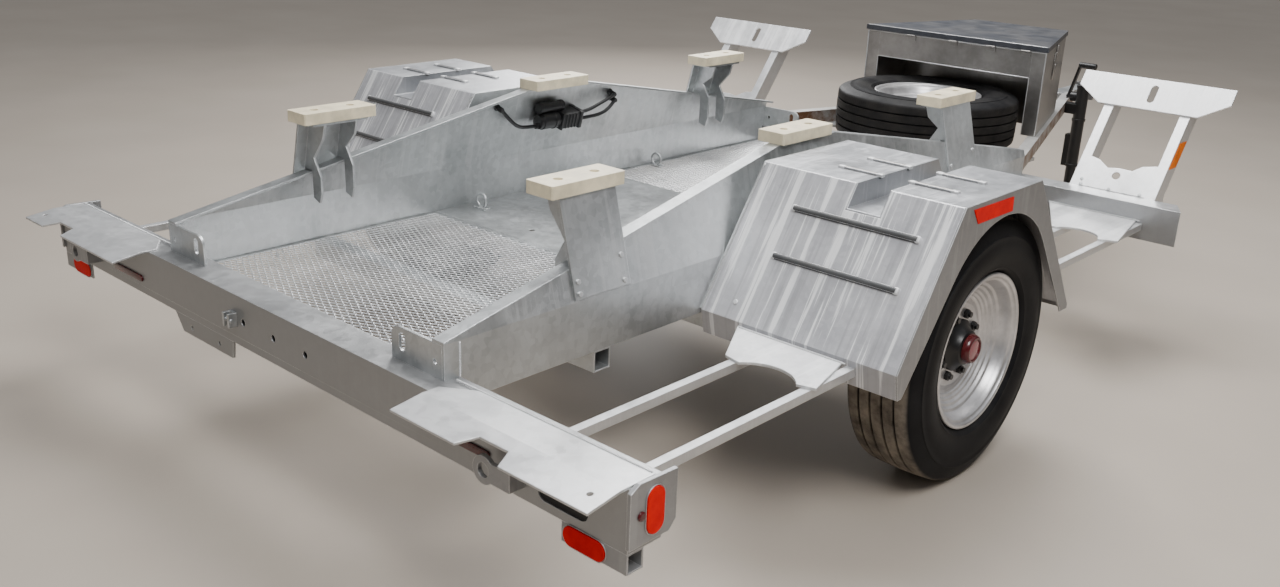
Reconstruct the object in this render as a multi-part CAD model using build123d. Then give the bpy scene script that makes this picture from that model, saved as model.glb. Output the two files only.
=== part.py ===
"""Galvanised single-axle off-road trailer, parked on its tongue jack. Millimetres.

Working axes: X to the right, Y forwards to the tongue with 0 at the wheel arch's middle, Z up from the ground.
At the end every piece is shifted along Y, so that the origin is the middle of the footprint.
"""
from build123d import *
from math import atan2, cos, degrees, radians, sin, sqrt, tan
import os

# Overall half width, that the wheels, fenders and rear beam are placed from
half_width = 1295

# Wheels, of the 235/75 R17.5 size
tyre_radius = 398
tyre_width = 233
tread_width = 186
rim_lip_radius = 235
rim_lip_height = 12
rim_barrel_radius = 215
rim_width = 196
rim_wall = 6
rim_disc_depth = 78
rim_disc_wall = 12
rim_bore_radius = 45
wheel_inset = 139
wheel_centre_x = half_width - wheel_inset
wheel_y = 38
seat_gap = 0.3
stud_circle_radius = 95
stud_count = 8
stud_radius = 9
stud_length = 30
stud_clearance = 0.5
hub_bore_gap = 0.05
hub_nose = 36
hub_cap_radius = 40
hub_cap_length = 26
hub_radius = 62
drum_radius = 150
drum_wall = 12
drum_depth = 86

# Axle: a square rubber-sprung tube with a trailing arm and a spindle at each end
axle_tube = 90
arm_length = 150
axle_y = wheel_y + arm_length
axle_inset = 390
axle_half = half_width - axle_inset
arm_wall = 40
arm_pivot_radius = 44
knuckle_radius = 38
spindle_radius = 25
spindle_tip_reach = 36
spindle_tip_x = wheel_centre_x + spindle_tip_reach
backing_wall = 6
backing_gap = 8

# Main beams and hump rails
beam_depth = 100
beam_height = 147
beam_wall = 6
beam_bottom = 403
rear_beam_y = -1476
front_beam_y = -rear_beam_y
front_beam_bottom = 417
front_beam_inset = 13
front_beam_half = half_width - front_beam_inset
front_beam_mitre = 48
beam_hole_spacing = 151
beam_hole_radius = 10
beam_hole_z = 477
end_plate_wall = 10
end_plate_lift = 15
end_plate_front = 132
end_plate_chamfer = 22
rail_web_x = 648
rail_wall = 8
rail_bottom = 485
crease_z = 640
rail_lean = 14.7
rail_overlap = 56
rail_front_overlap = 20
rail_end_z = 645
rail_front_z = 665
peak_z = 900
peak_rear_y = -80
peak_front_y = 215
flange_width = 42
lug_width = 192
lug_wall = 8
lug_corner_radius = 30
lug_slot_length = 48
lug_slot_width = 24
lug_slot_z = 601

# Floor between the rails
floor_wall = 6
rear_mesh_front_y = -435
front_mesh_rear_y = 415
floor_hole = (-242, -337)
member_width = 60
member_height = 60
member_wall = 4
member_y = (-900, -435, 415, 1000)
ring_radius = 24
ring_bar = 5
ring_plate = 6
ring_places = ((-560, -292), (-585, 677), (560, -292), (585, 677))

# Pads
pad_x = 545
pad_width = 100
pad_length = 260
pad_height = 35
pad_top_z = 935
pad_rear_y = -905
pad_middle_y = 48
pad_front_y = 988
pad_bolt_spacing = 130
pad_counterbore_radius = 13
pad_bolt_radius = 7
bracket_width = 200
bracket_wall = 8
bracket_bottom_z = 646
rib_wall = 8
rib_inset = 42

# Fenders
fender_top_z = 889
fender_wall = 5
fender_rear_top_y = -245
fender_front_top_y = 191
fender_rear_low_y = -504
fender_rear_low_z = 498
fender_front_low_y = 515
fender_front_low_z = 438
fender_lip_inset = 16
skirt_bottom_z = 424
inner_wall_bottom_z = 500
arch_radius = 327
arch_centre_z = 497
arch_leg_slope = 1.3
channel_outer_inset = 225
channel_width = 103
channel_outer_x = half_width - channel_outer_inset
channel_inner_x = channel_outer_x - channel_width
channel_depth = 64
tread_bar_width = 16
tread_bar_height = 8
slope_bar_z = (794, 672)
slope_bar_inset = 95
slope_bar_x = (813, half_width - slope_bar_inset)
top_bead_y = (-132, 18)
top_bead_height = 6
top_bead_inset = 105
top_bead_x = (842, half_width - top_bead_inset)

# Braces beside the wheels
brace_bar = 25
brace_outer_inset = 138
brace_spacing = 235
brace_outer_x = half_width - brace_outer_inset
brace_inner_x = brace_outer_x - brace_spacing
front_brace_inset = 155
front_brace_spacing = 180
front_brace_outer_x = half_width - front_brace_inset
front_brace_inner_x = front_brace_outer_x - front_brace_spacing
brace_z = 486
gusset_wall = 8
# Gussets: corners inwards from the outer bar and away from the seat, then their round hollow and its radius
rear_gusset_corners = ((373, -6), (25, -6), (-25, 188), (27, 202), (209, 199), (264, 186))
rear_gusset_hollow = (118, 265)
rear_hollow_radius = 112
front_gusset_corners = ((374, -6), (31, -6), (-32, 320), (23, 348), (215, 318))
front_gusset_hollow = (118, 361)
front_hollow_radius = 88

# Steps and lugs at the rear
step_inner_x = 670
step_outer_x = half_width - end_plate_wall - 2
step_front_y = -1400
step_bend_y = -1500
step_rear_y = -1590
step_drop = 13
step_wall = 6
step_notch_depth = 50
step_notch_width = 140
step_notch_inset = (265, 135)
step_notch_slant = 24
eye_radius = 34
eye_hole_radius = 18
eye_wall = 12
eye_z = 458
eye_offset = 44
eye_inset = (395, 195)
eye_reach = 85
eye_height = 48

# Tongue, coupler and jack
tongue_width = 50
tongue_height = 60
tongue_wall = 5
tongue_rear_inset = 16
tongue_rear_x = rail_web_x - tongue_rear_inset
tongue_taper = 0.318
drawbar_half = 40
drawbar_front_y = 3560
coupler_ring_radius = 58
coupler_bar = 40
coupler_bore_radius = 40
coupler_reach = 110
coupler_base_half = 45
jack_x = 232
jack_y = 3000
jack_tube_radius = 30
jack_leg_radius = 25
jack_leg_gap = 0.05
jack_top_z = 700
jack_cap = 12
jack_tube_bottom_z = 285
jack_leg_top_z = 430
jack_foot_radius = 75
jack_foot_wall = 8
jack_case_reach = 26
jack_side_case = (48, 163)
crank_z = 640
crank_top_z = 800
crank_swing = 42
crank_bar = 12
crank_grip = 85

# Spare wheel and toolbox
spare_y = 1835
carrier_half = 515
carrier_width = 120
carrier_wall = 15
box_rear_y = 2014
box_length = 660
box_inset = 18
box_flange = 66
box_top_z = 1000
box_wall = 4
box_band_z = 860
box_shelf_z = 828
box_recess = 240
lid_height = 22
lid_overhang = 6
lid_wall = 3
lid_rim = 6
lid_gap = 0.3
tab_x = (-213, 3, 190, 356)
tab_width = 40
tab_height = 26
tab_wall = 5
hinge_pin_radius = 4.5
hinge_drop = 4
hinge_stand_off = 9

# Light guards on the front beam's front face. Reaches are measured up their lean from the beam's top
guard_inset = 314
guard_x = half_width - guard_inset
guard_tube_width = 38
guard_tube_depth = 95
guard_spacing = 297
guard_foot_z = 440
guard_lean = 0.77
guard_tube_reach = 430
guard_plate_reach = (366, 436, 503)
guard_plate_wall = 8
guard_short_half = 194
guard_long_half = 295
guard_foot_wall = 6
guard_foot_edge = ((142, 140), (75, 127), (44, 101), (-8, 103), (-50, 96), (-92, 124), (-142, 133))
amber_z = (655, 746)
amber_width = 66
amber_margin = 14

# Lamps and reflectors
lamp_wall = 4
end_lamp_y = -1410
end_lamp_z = 485
end_lamp_size = (105, 50)
tail_lamp_inset = 129
tail_lamp_z = 378
tail_lamp_size = (120, 46)
strip_lamp_size = (184, 18)
strip_lamp_right = (515, 465)
strip_lamp_left = (470, 450)
lamp_slot_inset = 195
lamp_slot_z = 447
lamp_slot_size = (150, 44)
tail_tube = 48
tail_tube_length = 50
tail_plate_length = 137
tail_plate_wall = 5
tail_tube_wall = 4

left_and_right = (-1, 1)
nodes = {}


def outline(points):
    """Closed outline, always run anticlockwise, so that each pull goes the stated way."""
    points = list(points)
    turn = sum(a[0] * b[1] - b[0] * a[1] for a, b in zip(points, points[1:] + points[:1]))
    return Polygon(*(points if turn > 0 else points[::-1]), align=None)


def block(x0, x1, y0, y1, z0, z1):
    """Box between two corners."""
    return Pos((x0 + x1) / 2, (y0 + y1) / 2, (z0 + z1) / 2) * Box(abs(x1 - x0), abs(y1 - y0), abs(z1 - z0))


def side_plate(points, x0, x1):
    """Closed outline of (y, z) points, pulled along X from x0 to x1."""
    return extrude(Plane.YZ.offset(x0) * outline(points), amount=x1 - x0)


def plan_plate(points, z0, z1):
    """Closed outline of (x, y) points, pulled up from z0 to z1."""
    return extrude(Plane.XY.offset(z0) * outline(points), amount=z1 - z0)


def cross_plate(points, y0, y1):
    """Closed outline of (x, z) points, pulled along Y from y0 to y1."""
    return extrude(Plane.XZ.offset(-y1) * outline(points), amount=y1 - y0)


def bent_sheet(points, wall, x0, x1):
    """Sheet of one thickness on the right-hand side of a line of (y, z) points, pulled along X."""
    inner = []
    for index, (y, z) in enumerate(points):
        normals = []
        for a, b in ((index - 1, index), (index, index + 1)):
            if a >= 0 and b < len(points):
                run = (points[b][0] - points[a][0], points[b][1] - points[a][1])
                length = sqrt(run[0] ** 2 + run[1] ** 2)
                normals.append((run[1] / length, -run[0] / length))
        first, last = normals[0], normals[-1]
        share = wall / (1 + first[0] * last[0] + first[1] * last[1])
        inner.append((y + share * (first[0] + last[0]), z + share * (first[1] + last[1])))
    return side_plate(points + inner[::-1], x0, x1)


def rod_x(radius, x0, x1, y, z):
    return Pos((x0 + x1) / 2, y, z) * Rot(0, 90, 0) * Cylinder(radius, abs(x1 - x0))


def rod_y(radius, y0, y1, x, z):
    return Pos(x, (y0 + y1) / 2, z) * Rot(90, 0, 0) * Cylinder(radius, abs(y1 - y0))


def rod_z(radius, z0, z1, x, y):
    return Pos(x, y, (z0 + z1) / 2) * Cylinder(radius, abs(z1 - z0))


def other_side(shape):
    return mirror(shape, about=Plane.YZ)


def pair(shape):
    """A right-hand piece and its mirror image, as two solids of one node."""
    return Compound(shape.solids() + other_side(shape).solids())


def group(shapes):
    """Like pieces of one node, kept as separate solids."""
    return Compound([solid for shape in shapes for solid in shape.solids()])


def both_sides(name, shape):
    nodes[name + "_right"] = shape
    nodes[name + "_left"] = other_side(shape)


def turned_x(points):
    """Revolves a closed outline of (x, radius) points round the X axis."""
    return revolve(Plane.XZ * outline(points), axis=Axis.X, revolution_arc=360)


# Heights and places that follow from the sizes above
beam_top = beam_bottom + beam_height
rear_beam_front_y = rear_beam_y + beam_depth
front_beam_front_y = front_beam_y + beam_depth
rail_rear_y = rear_beam_y + rail_overlap
rail_front_y = front_beam_y + rail_front_overlap
rear_slope = (peak_z - rail_end_z) / (peak_rear_y - rail_rear_y)
front_slope = (peak_z - rail_front_z) / (rail_front_y - peak_front_y)
lean = tan(radians(rail_lean))
pad_bottom_z = pad_top_z - pad_height
floor_top = rail_bottom + floor_wall
disc_x = wheel_centre_x + rim_width / 2 - rim_disc_depth
hub_seat_x = disc_x - rim_disc_wall
drum_inner_x = hub_seat_x - drum_depth
backing_x = drum_inner_x - backing_gap - backing_wall
tongue_bottom_z = beam_top
tongue_top_z = tongue_bottom_z + tongue_height
spare_bottom_z = tongue_bottom_z
end_face_x = half_width - end_plate_wall
fender_outline = [
    (fender_rear_low_y + fender_lip_inset, skirt_bottom_z),
    (fender_rear_low_y, fender_rear_low_z),
    (fender_rear_top_y, fender_top_z),
    (fender_front_top_y, fender_top_z),
    (fender_front_low_y, fender_front_low_z),
    (fender_front_low_y, skirt_bottom_z),
]
fender_body = side_plate(fender_outline, rail_web_x, half_width)


def web_x(z):
    """Outer face of the right web at a height: upright to the crease, then leaning in."""
    return rail_web_x - max(0, z - crease_z) * lean


def hump_z(y):
    """Height of the rail's top edge along its length."""
    if y < peak_rear_y:
        return peak_z - (peak_rear_y - y) * rear_slope
    if y > peak_front_y:
        return peak_z - (y - peak_front_y) * front_slope
    return peak_z


def on_web(inset):
    """Plane along the right rail's leaning web: local x forwards, y up the slope, z outwards."""
    outwards = Vector(cos(radians(rail_lean)), 0, sin(radians(rail_lean)))
    start = Vector(rail_web_x, 0, crease_z) - outwards * inset
    return Plane(origin=start, x_dir=(0, 1, 0), z_dir=outwards)


def hump_rail():
    web = side_plate(
        [
            (rear_beam_front_y, rail_bottom),
            (front_beam_y, rail_bottom),
            (front_beam_y, beam_top),
            (rail_front_y, beam_top),
            (rail_front_y, crease_z),
            (rail_rear_y, crease_z),
            (rail_rear_y, beam_top),
            (rear_beam_front_y, beam_top),
        ],
        rail_web_x - rail_wall,
        rail_web_x,
    )
    steep = 1 / cos(radians(rail_lean))
    leaning = outline(
        [
            (rail_rear_y, 0),
            (rail_front_y, 0),
            (rail_front_y, (rail_front_z - crease_z) * steep),
            (peak_front_y, (peak_z - crease_z) * steep),
            (peak_rear_y, (peak_z - crease_z) * steep),
            (rail_rear_y, (rail_end_z - crease_z) * steep),
        ]
    )
    web += extrude(on_web(rail_wall) * leaning, amount=rail_wall)
    corners = [
        Vector(web_x(rail_end_z), rail_rear_y, rail_end_z),
        Vector(web_x(peak_z), peak_rear_y, peak_z),
        Vector(web_x(peak_z), peak_front_y, peak_z),
        Vector(web_x(rail_front_z), rail_front_y, rail_front_z),
    ]
    for start, end in zip(corners, corners[1:]):
        section = Plane(origin=start, x_dir=(-1, 0, 0), z_dir=(0, 1, 0)) * outline(
            [(0, 0), (flange_width, 0), (flange_width, -rail_wall), (0, -rail_wall)]
        )
        run = end - start
        web += extrude(section, amount=run.length, dir=run.normalized())
    return web


def rail_end_lugs():
    """Plates across the rails' ends, on top of the beams, each with a tall slot and a small hole."""
    lugs = []
    outer = rail_web_x - rail_wall
    for y0 in (rail_rear_y, rail_front_y - lug_wall):
        lug = block(outer - lug_width, outer, y0, y0 + lug_wall, beam_top, rail_end_z - rail_wall)
        corner = lug.edges().filter_by(Axis.Y).group_by(Axis.X)[0].sort_by(Axis.Z)[-1]
        lug = fillet(corner, lug_corner_radius)
        slot_x = outer - lug_width + 41
        slot = Plane(origin=(slot_x, y0 + lug_wall + 1, lug_slot_z), x_dir=(0, 0, 1), z_dir=(0, 1, 0))
        lug -= extrude(slot * SlotOverall(lug_slot_length, lug_slot_width), amount=-lug_wall - 2)
        lug -= rod_y(7, y0 - 1, y0 + lug_wall + 1, outer - 26, 590)
        lugs.append(pair(lug))
    return group(lugs)


def end_beam(y, half, bottom):
    """Square-cornered box beam, open inside from end to end."""
    beam = block(-half, half, y, y + beam_depth, bottom, beam_top)
    w = beam_wall
    return beam - block(-half - 1, half + 1, y + w, y + beam_depth - w, bottom + w, beam_top - w)


def front_beam():
    """Front box beam, with its ends cut on the slant."""
    half = front_beam_half
    slant = front_beam_mitre / beam_depth
    corner = plan_plate(
        [
            (half + slant, front_beam_y - 1),
            (half + 2, front_beam_y - 1),
            (half + 2, front_beam_front_y + 1),
            (half - front_beam_mitre - slant, front_beam_front_y + 1),
        ],
        front_beam_bottom - 1,
        beam_top + 1,
    )
    return end_beam(front_beam_y, half, front_beam_bottom) - corner - other_side(corner)


def rear_beam():
    beam = end_beam(rear_beam_y, end_face_x, beam_bottom)
    for step in (-1, 0, 1):
        hole_x = step * beam_hole_spacing
        beam -= rod_y(beam_hole_radius, rear_beam_y - 1, rear_beam_y + beam_wall + 1, hole_x, beam_hole_z)
    for side in left_and_right:
        slot_x = side * (half_width - lamp_slot_inset)
        slot = Plane(origin=(slot_x, rear_beam_y - 1, lamp_slot_z), x_dir=(1, 0, 0), z_dir=(0, -1, 0))
        beam -= extrude(slot * SlotOverall(*lamp_slot_size), amount=-beam_wall - 2)
    return beam


def tail_brackets():
    """Square tube end and lamp plate under each end of the rear beam."""
    z0 = beam_bottom - tail_tube
    x0 = end_face_x - tail_tube_length
    y0, y1 = rear_beam_y, rear_beam_y + tail_tube
    w = tail_tube_wall
    tube = block(x0, end_face_x, y0, y1, z0, beam_bottom)
    tube -= block(x0 - 1, end_face_x + 1, y0 + w, y1 - w, z0 + w, beam_bottom - w)
    plate = block(x0 - tail_plate_length, x0, y0, y0 + tail_plate_wall, z0, beam_bottom)
    return pair(tube + plate)


def end_plates():
    low_z = beam_bottom + end_plate_lift
    front_y = rear_beam_y + end_plate_front
    plate = side_plate(
        [
            (rear_beam_y - 6, low_z),
            (front_y - end_plate_chamfer + 2, low_z),
            (front_y, low_z + end_plate_chamfer),
            (front_y, beam_top + 4),
            (rear_beam_y + 20, beam_top + 8),
            (rear_beam_y - 6, beam_top - 6),
        ],
        end_face_x,
        half_width,
    )
    return pair(plate)


def step_plate(notch_inset):
    """Bent cover plate on the rear beam, with a cut corner and a notch in its rear edge."""
    top = beam_top + step_wall
    notch_outer = half_width - notch_inset
    notch_inner = notch_outer - step_notch_width
    plate = bent_sheet(
        [(step_rear_y, top - step_drop), (step_bend_y, top), (step_front_y, top)], step_wall, step_inner_x, step_outer_x
    )
    plate -= plan_plate(
        [(step_inner_x - 1, step_front_y - 55), (step_inner_x - 1, step_front_y + 1), (step_inner_x + 85, step_front_y + 1)],
        beam_top - 1,
        top + 1,
    )
    plate -= plan_plate(
        [
            (notch_inner, step_rear_y - 1),
            (notch_inner + step_notch_slant, step_rear_y + step_notch_depth),
            (notch_outer - step_notch_slant, step_rear_y + step_notch_depth),
            (notch_outer, step_rear_y - 1),
        ],
        beam_top - 30,
        top + 1,
    )
    return plate - rod_z(7, beam_top - 30, top + 1, step_outer_x - 40, step_rear_y + 48)


def eye_lugs():
    """Flat eyes on stand-off legs behind the rear beam. Both point to the left."""
    lugs = []
    z0, z1 = eye_z - eye_height / 2, eye_z + eye_height / 2
    right_eye_x = half_width - eye_inset[0]
    left_eye_x = eye_inset[1] - half_width
    for eye_x in (right_eye_x, left_eye_x):
        bend_x = eye_x + eye_reach
        y0 = rear_beam_y - eye_offset
        lug = block(eye_x, bend_x, y0, y0 + eye_wall, z0, z1) + rod_y(eye_radius, y0, y0 + eye_wall, eye_x, eye_z)
        lug -= rod_y(eye_hole_radius, y0 - 1, y0 + eye_wall + 1, eye_x, eye_z)
        lugs.append(lug + block(bend_x - eye_wall, bend_x, y0, rear_beam_y, z0, z1))
    return group(lugs)


def rear_hanger():
    """Drilled plate under the rear beam, left of the middle."""
    plate = cross_plate(
        [(-540, beam_bottom), (-500, 350), (-223, 350), (-215, beam_bottom)], rear_beam_y, rear_beam_y + 8
    )
    for x in (-447, -292):
        plate -= rod_y(7, rear_beam_y - 1, rear_beam_y + 9, x, 374)
    return plate


def rear_clevis():
    """Small fork with its pin on the rear beam's face."""
    fork = block(-214, -182, rear_beam_y - 26, rear_beam_y, 458, 498)
    fork -= block(-207, -189, rear_beam_y - 27, rear_beam_y - 6, 450, 506)
    return fork + rod_x(5, -218, -178, rear_beam_y - 17, beam_hole_z)


def floor_panel(y0, y1):
    inner = rail_web_x - rail_wall - seat_gap
    return block(-inner, inner, y0, y1, rail_bottom, floor_top)


def floor_rings():
    """Lashing rings that stand in small plates on the floor."""
    rings = []
    for x, y in ring_places:
        z = floor_top + ring_plate + ring_radius
        ring = Pos(x, y, z) * Rot(90, 0, 0) * Torus(ring_radius, ring_bar)
        rings.append(ring + block(x - 30, x + 30, y - 14, y + 14, floor_top, floor_top + ring_plate))
    return group(rings)


def cross_members():
    tubes = []
    z0 = rail_bottom - member_height
    w = member_wall
    for y in member_y:
        y0, y1 = y - member_width / 2, y + member_width / 2
        tube = block(-rail_web_x, rail_web_x, y0, y1, z0, rail_bottom)
        tubes.append(tube - block(-rail_web_x - 1, rail_web_x + 1, y0 + w, y1 - w, z0 + w, rail_bottom - w))
    return group(tubes)


def axle_beam():
    y0, y1 = axle_y - axle_tube / 2, axle_y + axle_tube / 2
    return block(-axle_half, axle_half, y0, y1, rail_bottom - axle_tube, rail_bottom)


def torsion_arms():
    """Trailing arms from the axle tube's ends back to the wheel centres."""
    pivot = Pos(axle_y, rail_bottom - axle_tube / 2) * Circle(arm_pivot_radius)
    circles = pivot + Pos(wheel_y, tyre_radius) * Circle(knuckle_radius)
    return pair(extrude(Plane.YZ.offset(axle_half) * make_hull(circles.edges()), amount=arm_wall))


def spindles():
    """Knuckle, brake backing plate and spindle in one piece on each arm."""
    spindle = rod_x(knuckle_radius, axle_half + arm_wall, backing_x, wheel_y, tyre_radius)
    spindle += rod_x(drum_radius, backing_x, backing_x + backing_wall, wheel_y, tyre_radius)
    spindle += rod_x(spindle_radius, backing_x, spindle_tip_x, wheel_y, tyre_radius)
    return pair(spindle)


def tyre(centre_x):
    """Tyre round the X axis: flat tread, rounded shoulders, bulged walls and beads on the rim."""
    half = tyre_width / 2
    tread_half = tread_width / 2
    bead = rim_width / 2 - rim_lip_height - seat_gap
    bore = rim_barrel_radius + seat_gap
    wall_mid = (tyre_radius + bore) / 2 + 6
    right = [
        (bead, bore),
        (bead, rim_lip_radius),
        (half - 8, wall_mid - 40),
        (half, wall_mid),
        (half - 7, wall_mid + 40),
        (tread_half + 8, tyre_radius - 14),
        (tread_half - 8, tyre_radius - 2),
    ]
    left = [(-x, r) for x, r in reversed(right)]
    return turned_x([(x + centre_x, r) for x, r in right + [(0, tyre_radius)] + left])


def rim(centre_x):
    """Steel rim: lips, barrel, and a drilled disc set deep behind the outer lip."""
    half = rim_width / 2
    lip = rim_lip_radius
    step = rim_lip_height
    barrel = rim_barrel_radius
    inner = barrel - rim_wall
    disc = half - rim_disc_depth
    points = [
        (-half, lip),
        (-half, lip - step),
        (-half + 10, inner),
        (disc - rim_disc_wall - 20, inner),
        (disc - rim_disc_wall, barrel - 40),
        (disc - rim_disc_wall, rim_bore_radius),
        (disc, rim_bore_radius),
        (disc, barrel - 44),
        (disc + 22, inner),
        (half - 10, inner),
        (half, lip - step),
        (half, lip),
        (half - step, lip),
        (half - step, barrel),
        (-half + step, barrel),
        (-half + step, lip),
    ]
    shape = turned_x([(x + centre_x, r) for x, r in points])
    for y, z in stud_places():
        shape -= rod_x(stud_radius + stud_clearance, centre_x - rim_width, centre_x + rim_width, y, z)
    return shape


def stud_places():
    """The (y, z) of each stud about the wheel's centre."""
    places = []
    for turn in range(stud_count):
        angle = 2 * radians(180) / stud_count * (turn + 0.5)
        places.append((stud_circle_radius * cos(angle), stud_circle_radius * sin(angle)))
    return places


def hub():
    """Brake drum, hub barrel, studs and cap: all that turns on the spindle but the rim and the tyre."""
    bore = spindle_radius + hub_bore_gap
    pilot = rim_bore_radius - 1
    nose_x = disc_x + hub_nose
    points = [
        (drum_inner_x, drum_radius),
        (hub_seat_x, drum_radius),
        (hub_seat_x, pilot),
        (nose_x, pilot),
        (nose_x, hub_cap_radius),
        (nose_x + hub_cap_length, hub_cap_radius - 8),
        (nose_x + hub_cap_length, 0),
        (spindle_tip_x + 6, 0),
        (spindle_tip_x + 6, bore),
        (hub_seat_x - 60, bore),
        (hub_seat_x - 60, hub_radius),
        (hub_seat_x - drum_wall, hub_radius),
        (hub_seat_x - drum_wall, drum_radius - drum_wall),
        (drum_inner_x, drum_radius - drum_wall),
    ]
    body = turned_x(points)
    for y, z in stud_places():
        body += rod_x(stud_radius, hub_seat_x - 2, disc_x + stud_length, y, z)
    return body


def fender_cover():
    """Bent sheet over the wheel, from the rear lip over the top to the front lip."""
    return bent_sheet(fender_outline, fender_wall, rail_web_x + fender_wall, half_width - fender_wall)


def channel_profile(extra):
    """Side outline of the sunk channel along the fender's top, down to its floor and a little more."""
    rear_pitch = (fender_top_z - fender_rear_low_z) / (fender_rear_top_y - fender_rear_low_y)
    front_pitch = (fender_top_z - fender_front_low_z) / (fender_front_low_y - fender_front_top_y)
    depth = channel_depth + extra
    return [
        (fender_rear_top_y - depth / rear_pitch, fender_top_z - depth),
        (fender_rear_top_y, fender_top_z),
        (fender_front_top_y, fender_top_z),
        (fender_front_top_y + depth / front_pitch, fender_top_z - depth),
    ]


def top_region():
    return block(0, half_width + 1, fender_rear_top_y, fender_front_top_y, fender_top_z - 200, fender_top_z + 50)


def fender_top():
    """Flat top with its sunk channel and two rows of raised beads."""
    top = fender_cover() & top_region()
    w = fender_wall
    floor_z = fender_top_z - channel_depth
    tray = side_plate(channel_profile(w), channel_inner_x - w, channel_outer_x + w)
    rear_end, front_end = fender_rear_top_y - 100, fender_front_top_y + 100
    trough = block(channel_inner_x, channel_outer_x, rear_end, front_end, floor_z, fender_top_z + 1)
    top = top - block(channel_inner_x, channel_outer_x, rear_end, front_end, floor_z, fender_top_z + 1) + (tray - trough)
    half = tread_bar_width / 2
    for y in top_bead_y:
        for inner, outer in ((top_bead_x[0], channel_inner_x), (channel_outer_x, top_bead_x[1])):
            top += block(inner, outer, y - half, y + half, fender_top_z - 1, fender_top_z + top_bead_height)
    return top


def fender_slopes():
    """Rear and front slopes with their lips, notched for the channel, and the rear slope's foot bars."""
    w = fender_wall
    slopes = fender_cover() - top_region()
    slopes -= side_plate(channel_profile(w), channel_inner_x - w, channel_outer_x + w)
    rear_pitch = (fender_top_z - fender_rear_low_z) / (fender_rear_top_y - fender_rear_low_y)
    half = tread_bar_width / 2
    for z in slope_bar_z:
        y = fender_rear_top_y - (fender_top_z - z) / rear_pitch
        bar = block(slope_bar_x[0], slope_bar_x[1], -half, half, -1, tread_bar_height)
        slopes += Pos(0, y, z) * Rot(degrees(atan2(rear_pitch, 1)), 0, 0) * bar
    return slopes


def fender_skirt():
    """Outer side panel. Its arch is round over the tyre, with straight legs that spread to the bottom."""
    skirt = side_plate(fender_outline, half_width - fender_wall, half_width)
    x0, x1 = half_width - fender_wall - 1, half_width + 1
    steepness = atan2(1, arch_leg_slope)
    leg_y = arch_radius * cos(steepness)
    leg_z = arch_centre_z + arch_radius * sin(steepness)
    spread_y = leg_y + (leg_z - skirt_bottom_z + 1) / arch_leg_slope
    legs = [(-spread_y, skirt_bottom_z - 1), (spread_y, skirt_bottom_z - 1), (leg_y, leg_z), (-leg_y, leg_z)]
    return skirt - rod_x(arch_radius, x0, x1, 0, arch_centre_z) - side_plate(legs, x0, x1)


def fender_inner_wall():
    """Inner side panel, face to face with the rail's upright web."""
    wall = side_plate(fender_outline, rail_web_x, rail_web_x + fender_wall)
    return wall - block(rail_web_x - 1, half_width, fender_rear_low_y - 50, fender_front_low_y + 50, 0, inner_wall_bottom_z)


def gusset(edge_y, corners, hollow, radius):
    """Bright plate between two brace bars, behind the edge that carries it, with a round hollow in its far side."""
    plate = plan_plate([(brace_outer_x - inset, edge_y - y) for inset, y in corners], brace_z - gusset_wall, brace_z)
    inset, y = hollow
    return plate - rod_z(radius, brace_z - gusset_wall - 1, brace_z + 1, brace_outer_x - inset, edge_y - y)


def rear_gussets():
    return pair(gusset(fender_rear_low_y, rear_gusset_corners, rear_gusset_hollow, rear_hollow_radius) - fender_body)


def front_gussets():
    plate = gusset(front_beam_y, front_gusset_corners, front_gusset_hollow, front_hollow_radius)
    return pair(plate - block(0, half_width, front_beam_y, front_beam_front_y, 0, beam_top))


def brace_bars():
    """Square bars that run from the rear and front beams to the fender's two low edges."""
    bars = []
    half = brace_bar / 2
    z1 = brace_z - gusset_wall
    z0 = z1 - brace_bar
    for x in (brace_inner_x, brace_outer_x):
        bar = block(x - half, x + half, rear_beam_front_y, fender_rear_low_y + 30, z0, z1)
        bars.append(pair(bar - fender_body))
    for x in (front_brace_inner_x, front_brace_outer_x):
        bar = block(x - half, x + half, fender_front_low_y - 40, front_beam_y, z0, z1)
        bars.append(pair(bar - fender_body))
    return group(bars)


guard_steep = sqrt(1 + guard_lean * guard_lean)
guard_foot_half = (guard_spacing - guard_tube_width) / 2


def guard_plane():
    """Plane of the guard tubes' rear faces: local x to the right, y up the lean, z to the rear."""
    return Plane(
        origin=(guard_x, front_beam_front_y, beam_top),
        x_dir=(1, 0, 0),
        z_dir=(0, -1 / guard_steep, guard_lean / guard_steep),
    )


def light_guard():
    """Two square tubes that rise from the beam's front face, and the drilled plate between their feet."""
    half = guard_foot_half + 1
    edge = [(max(-half, min(half, x)), y) for x, y in guard_foot_edge]
    foot = outline([(-half, 0), (half, 0)] + edge)
    guard = extrude(guard_plane() * (foot - Pos(-7, 69) * Circle(16)), amount=-guard_foot_wall)
    y0, y1 = front_beam_front_y, front_beam_front_y + guard_tube_depth
    guard += block(guard_x - half, guard_x + half, y0, y0 + guard_foot_wall, guard_foot_z, beam_top)
    rise = guard_tube_reach / guard_steep
    for side in left_and_right:
        x = guard_x + side * guard_spacing / 2
        guard += side_plate(
            [
                (y0, guard_foot_z),
                (y1, guard_foot_z),
                (y1, beam_top),
                (y1 + guard_lean * rise, beam_top + rise),
                (y0 + guard_lean * rise, beam_top + rise),
                (y0, beam_top),
            ],
            x - guard_tube_width / 2,
            x + guard_tube_width / 2,
        )
    return guard


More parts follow.
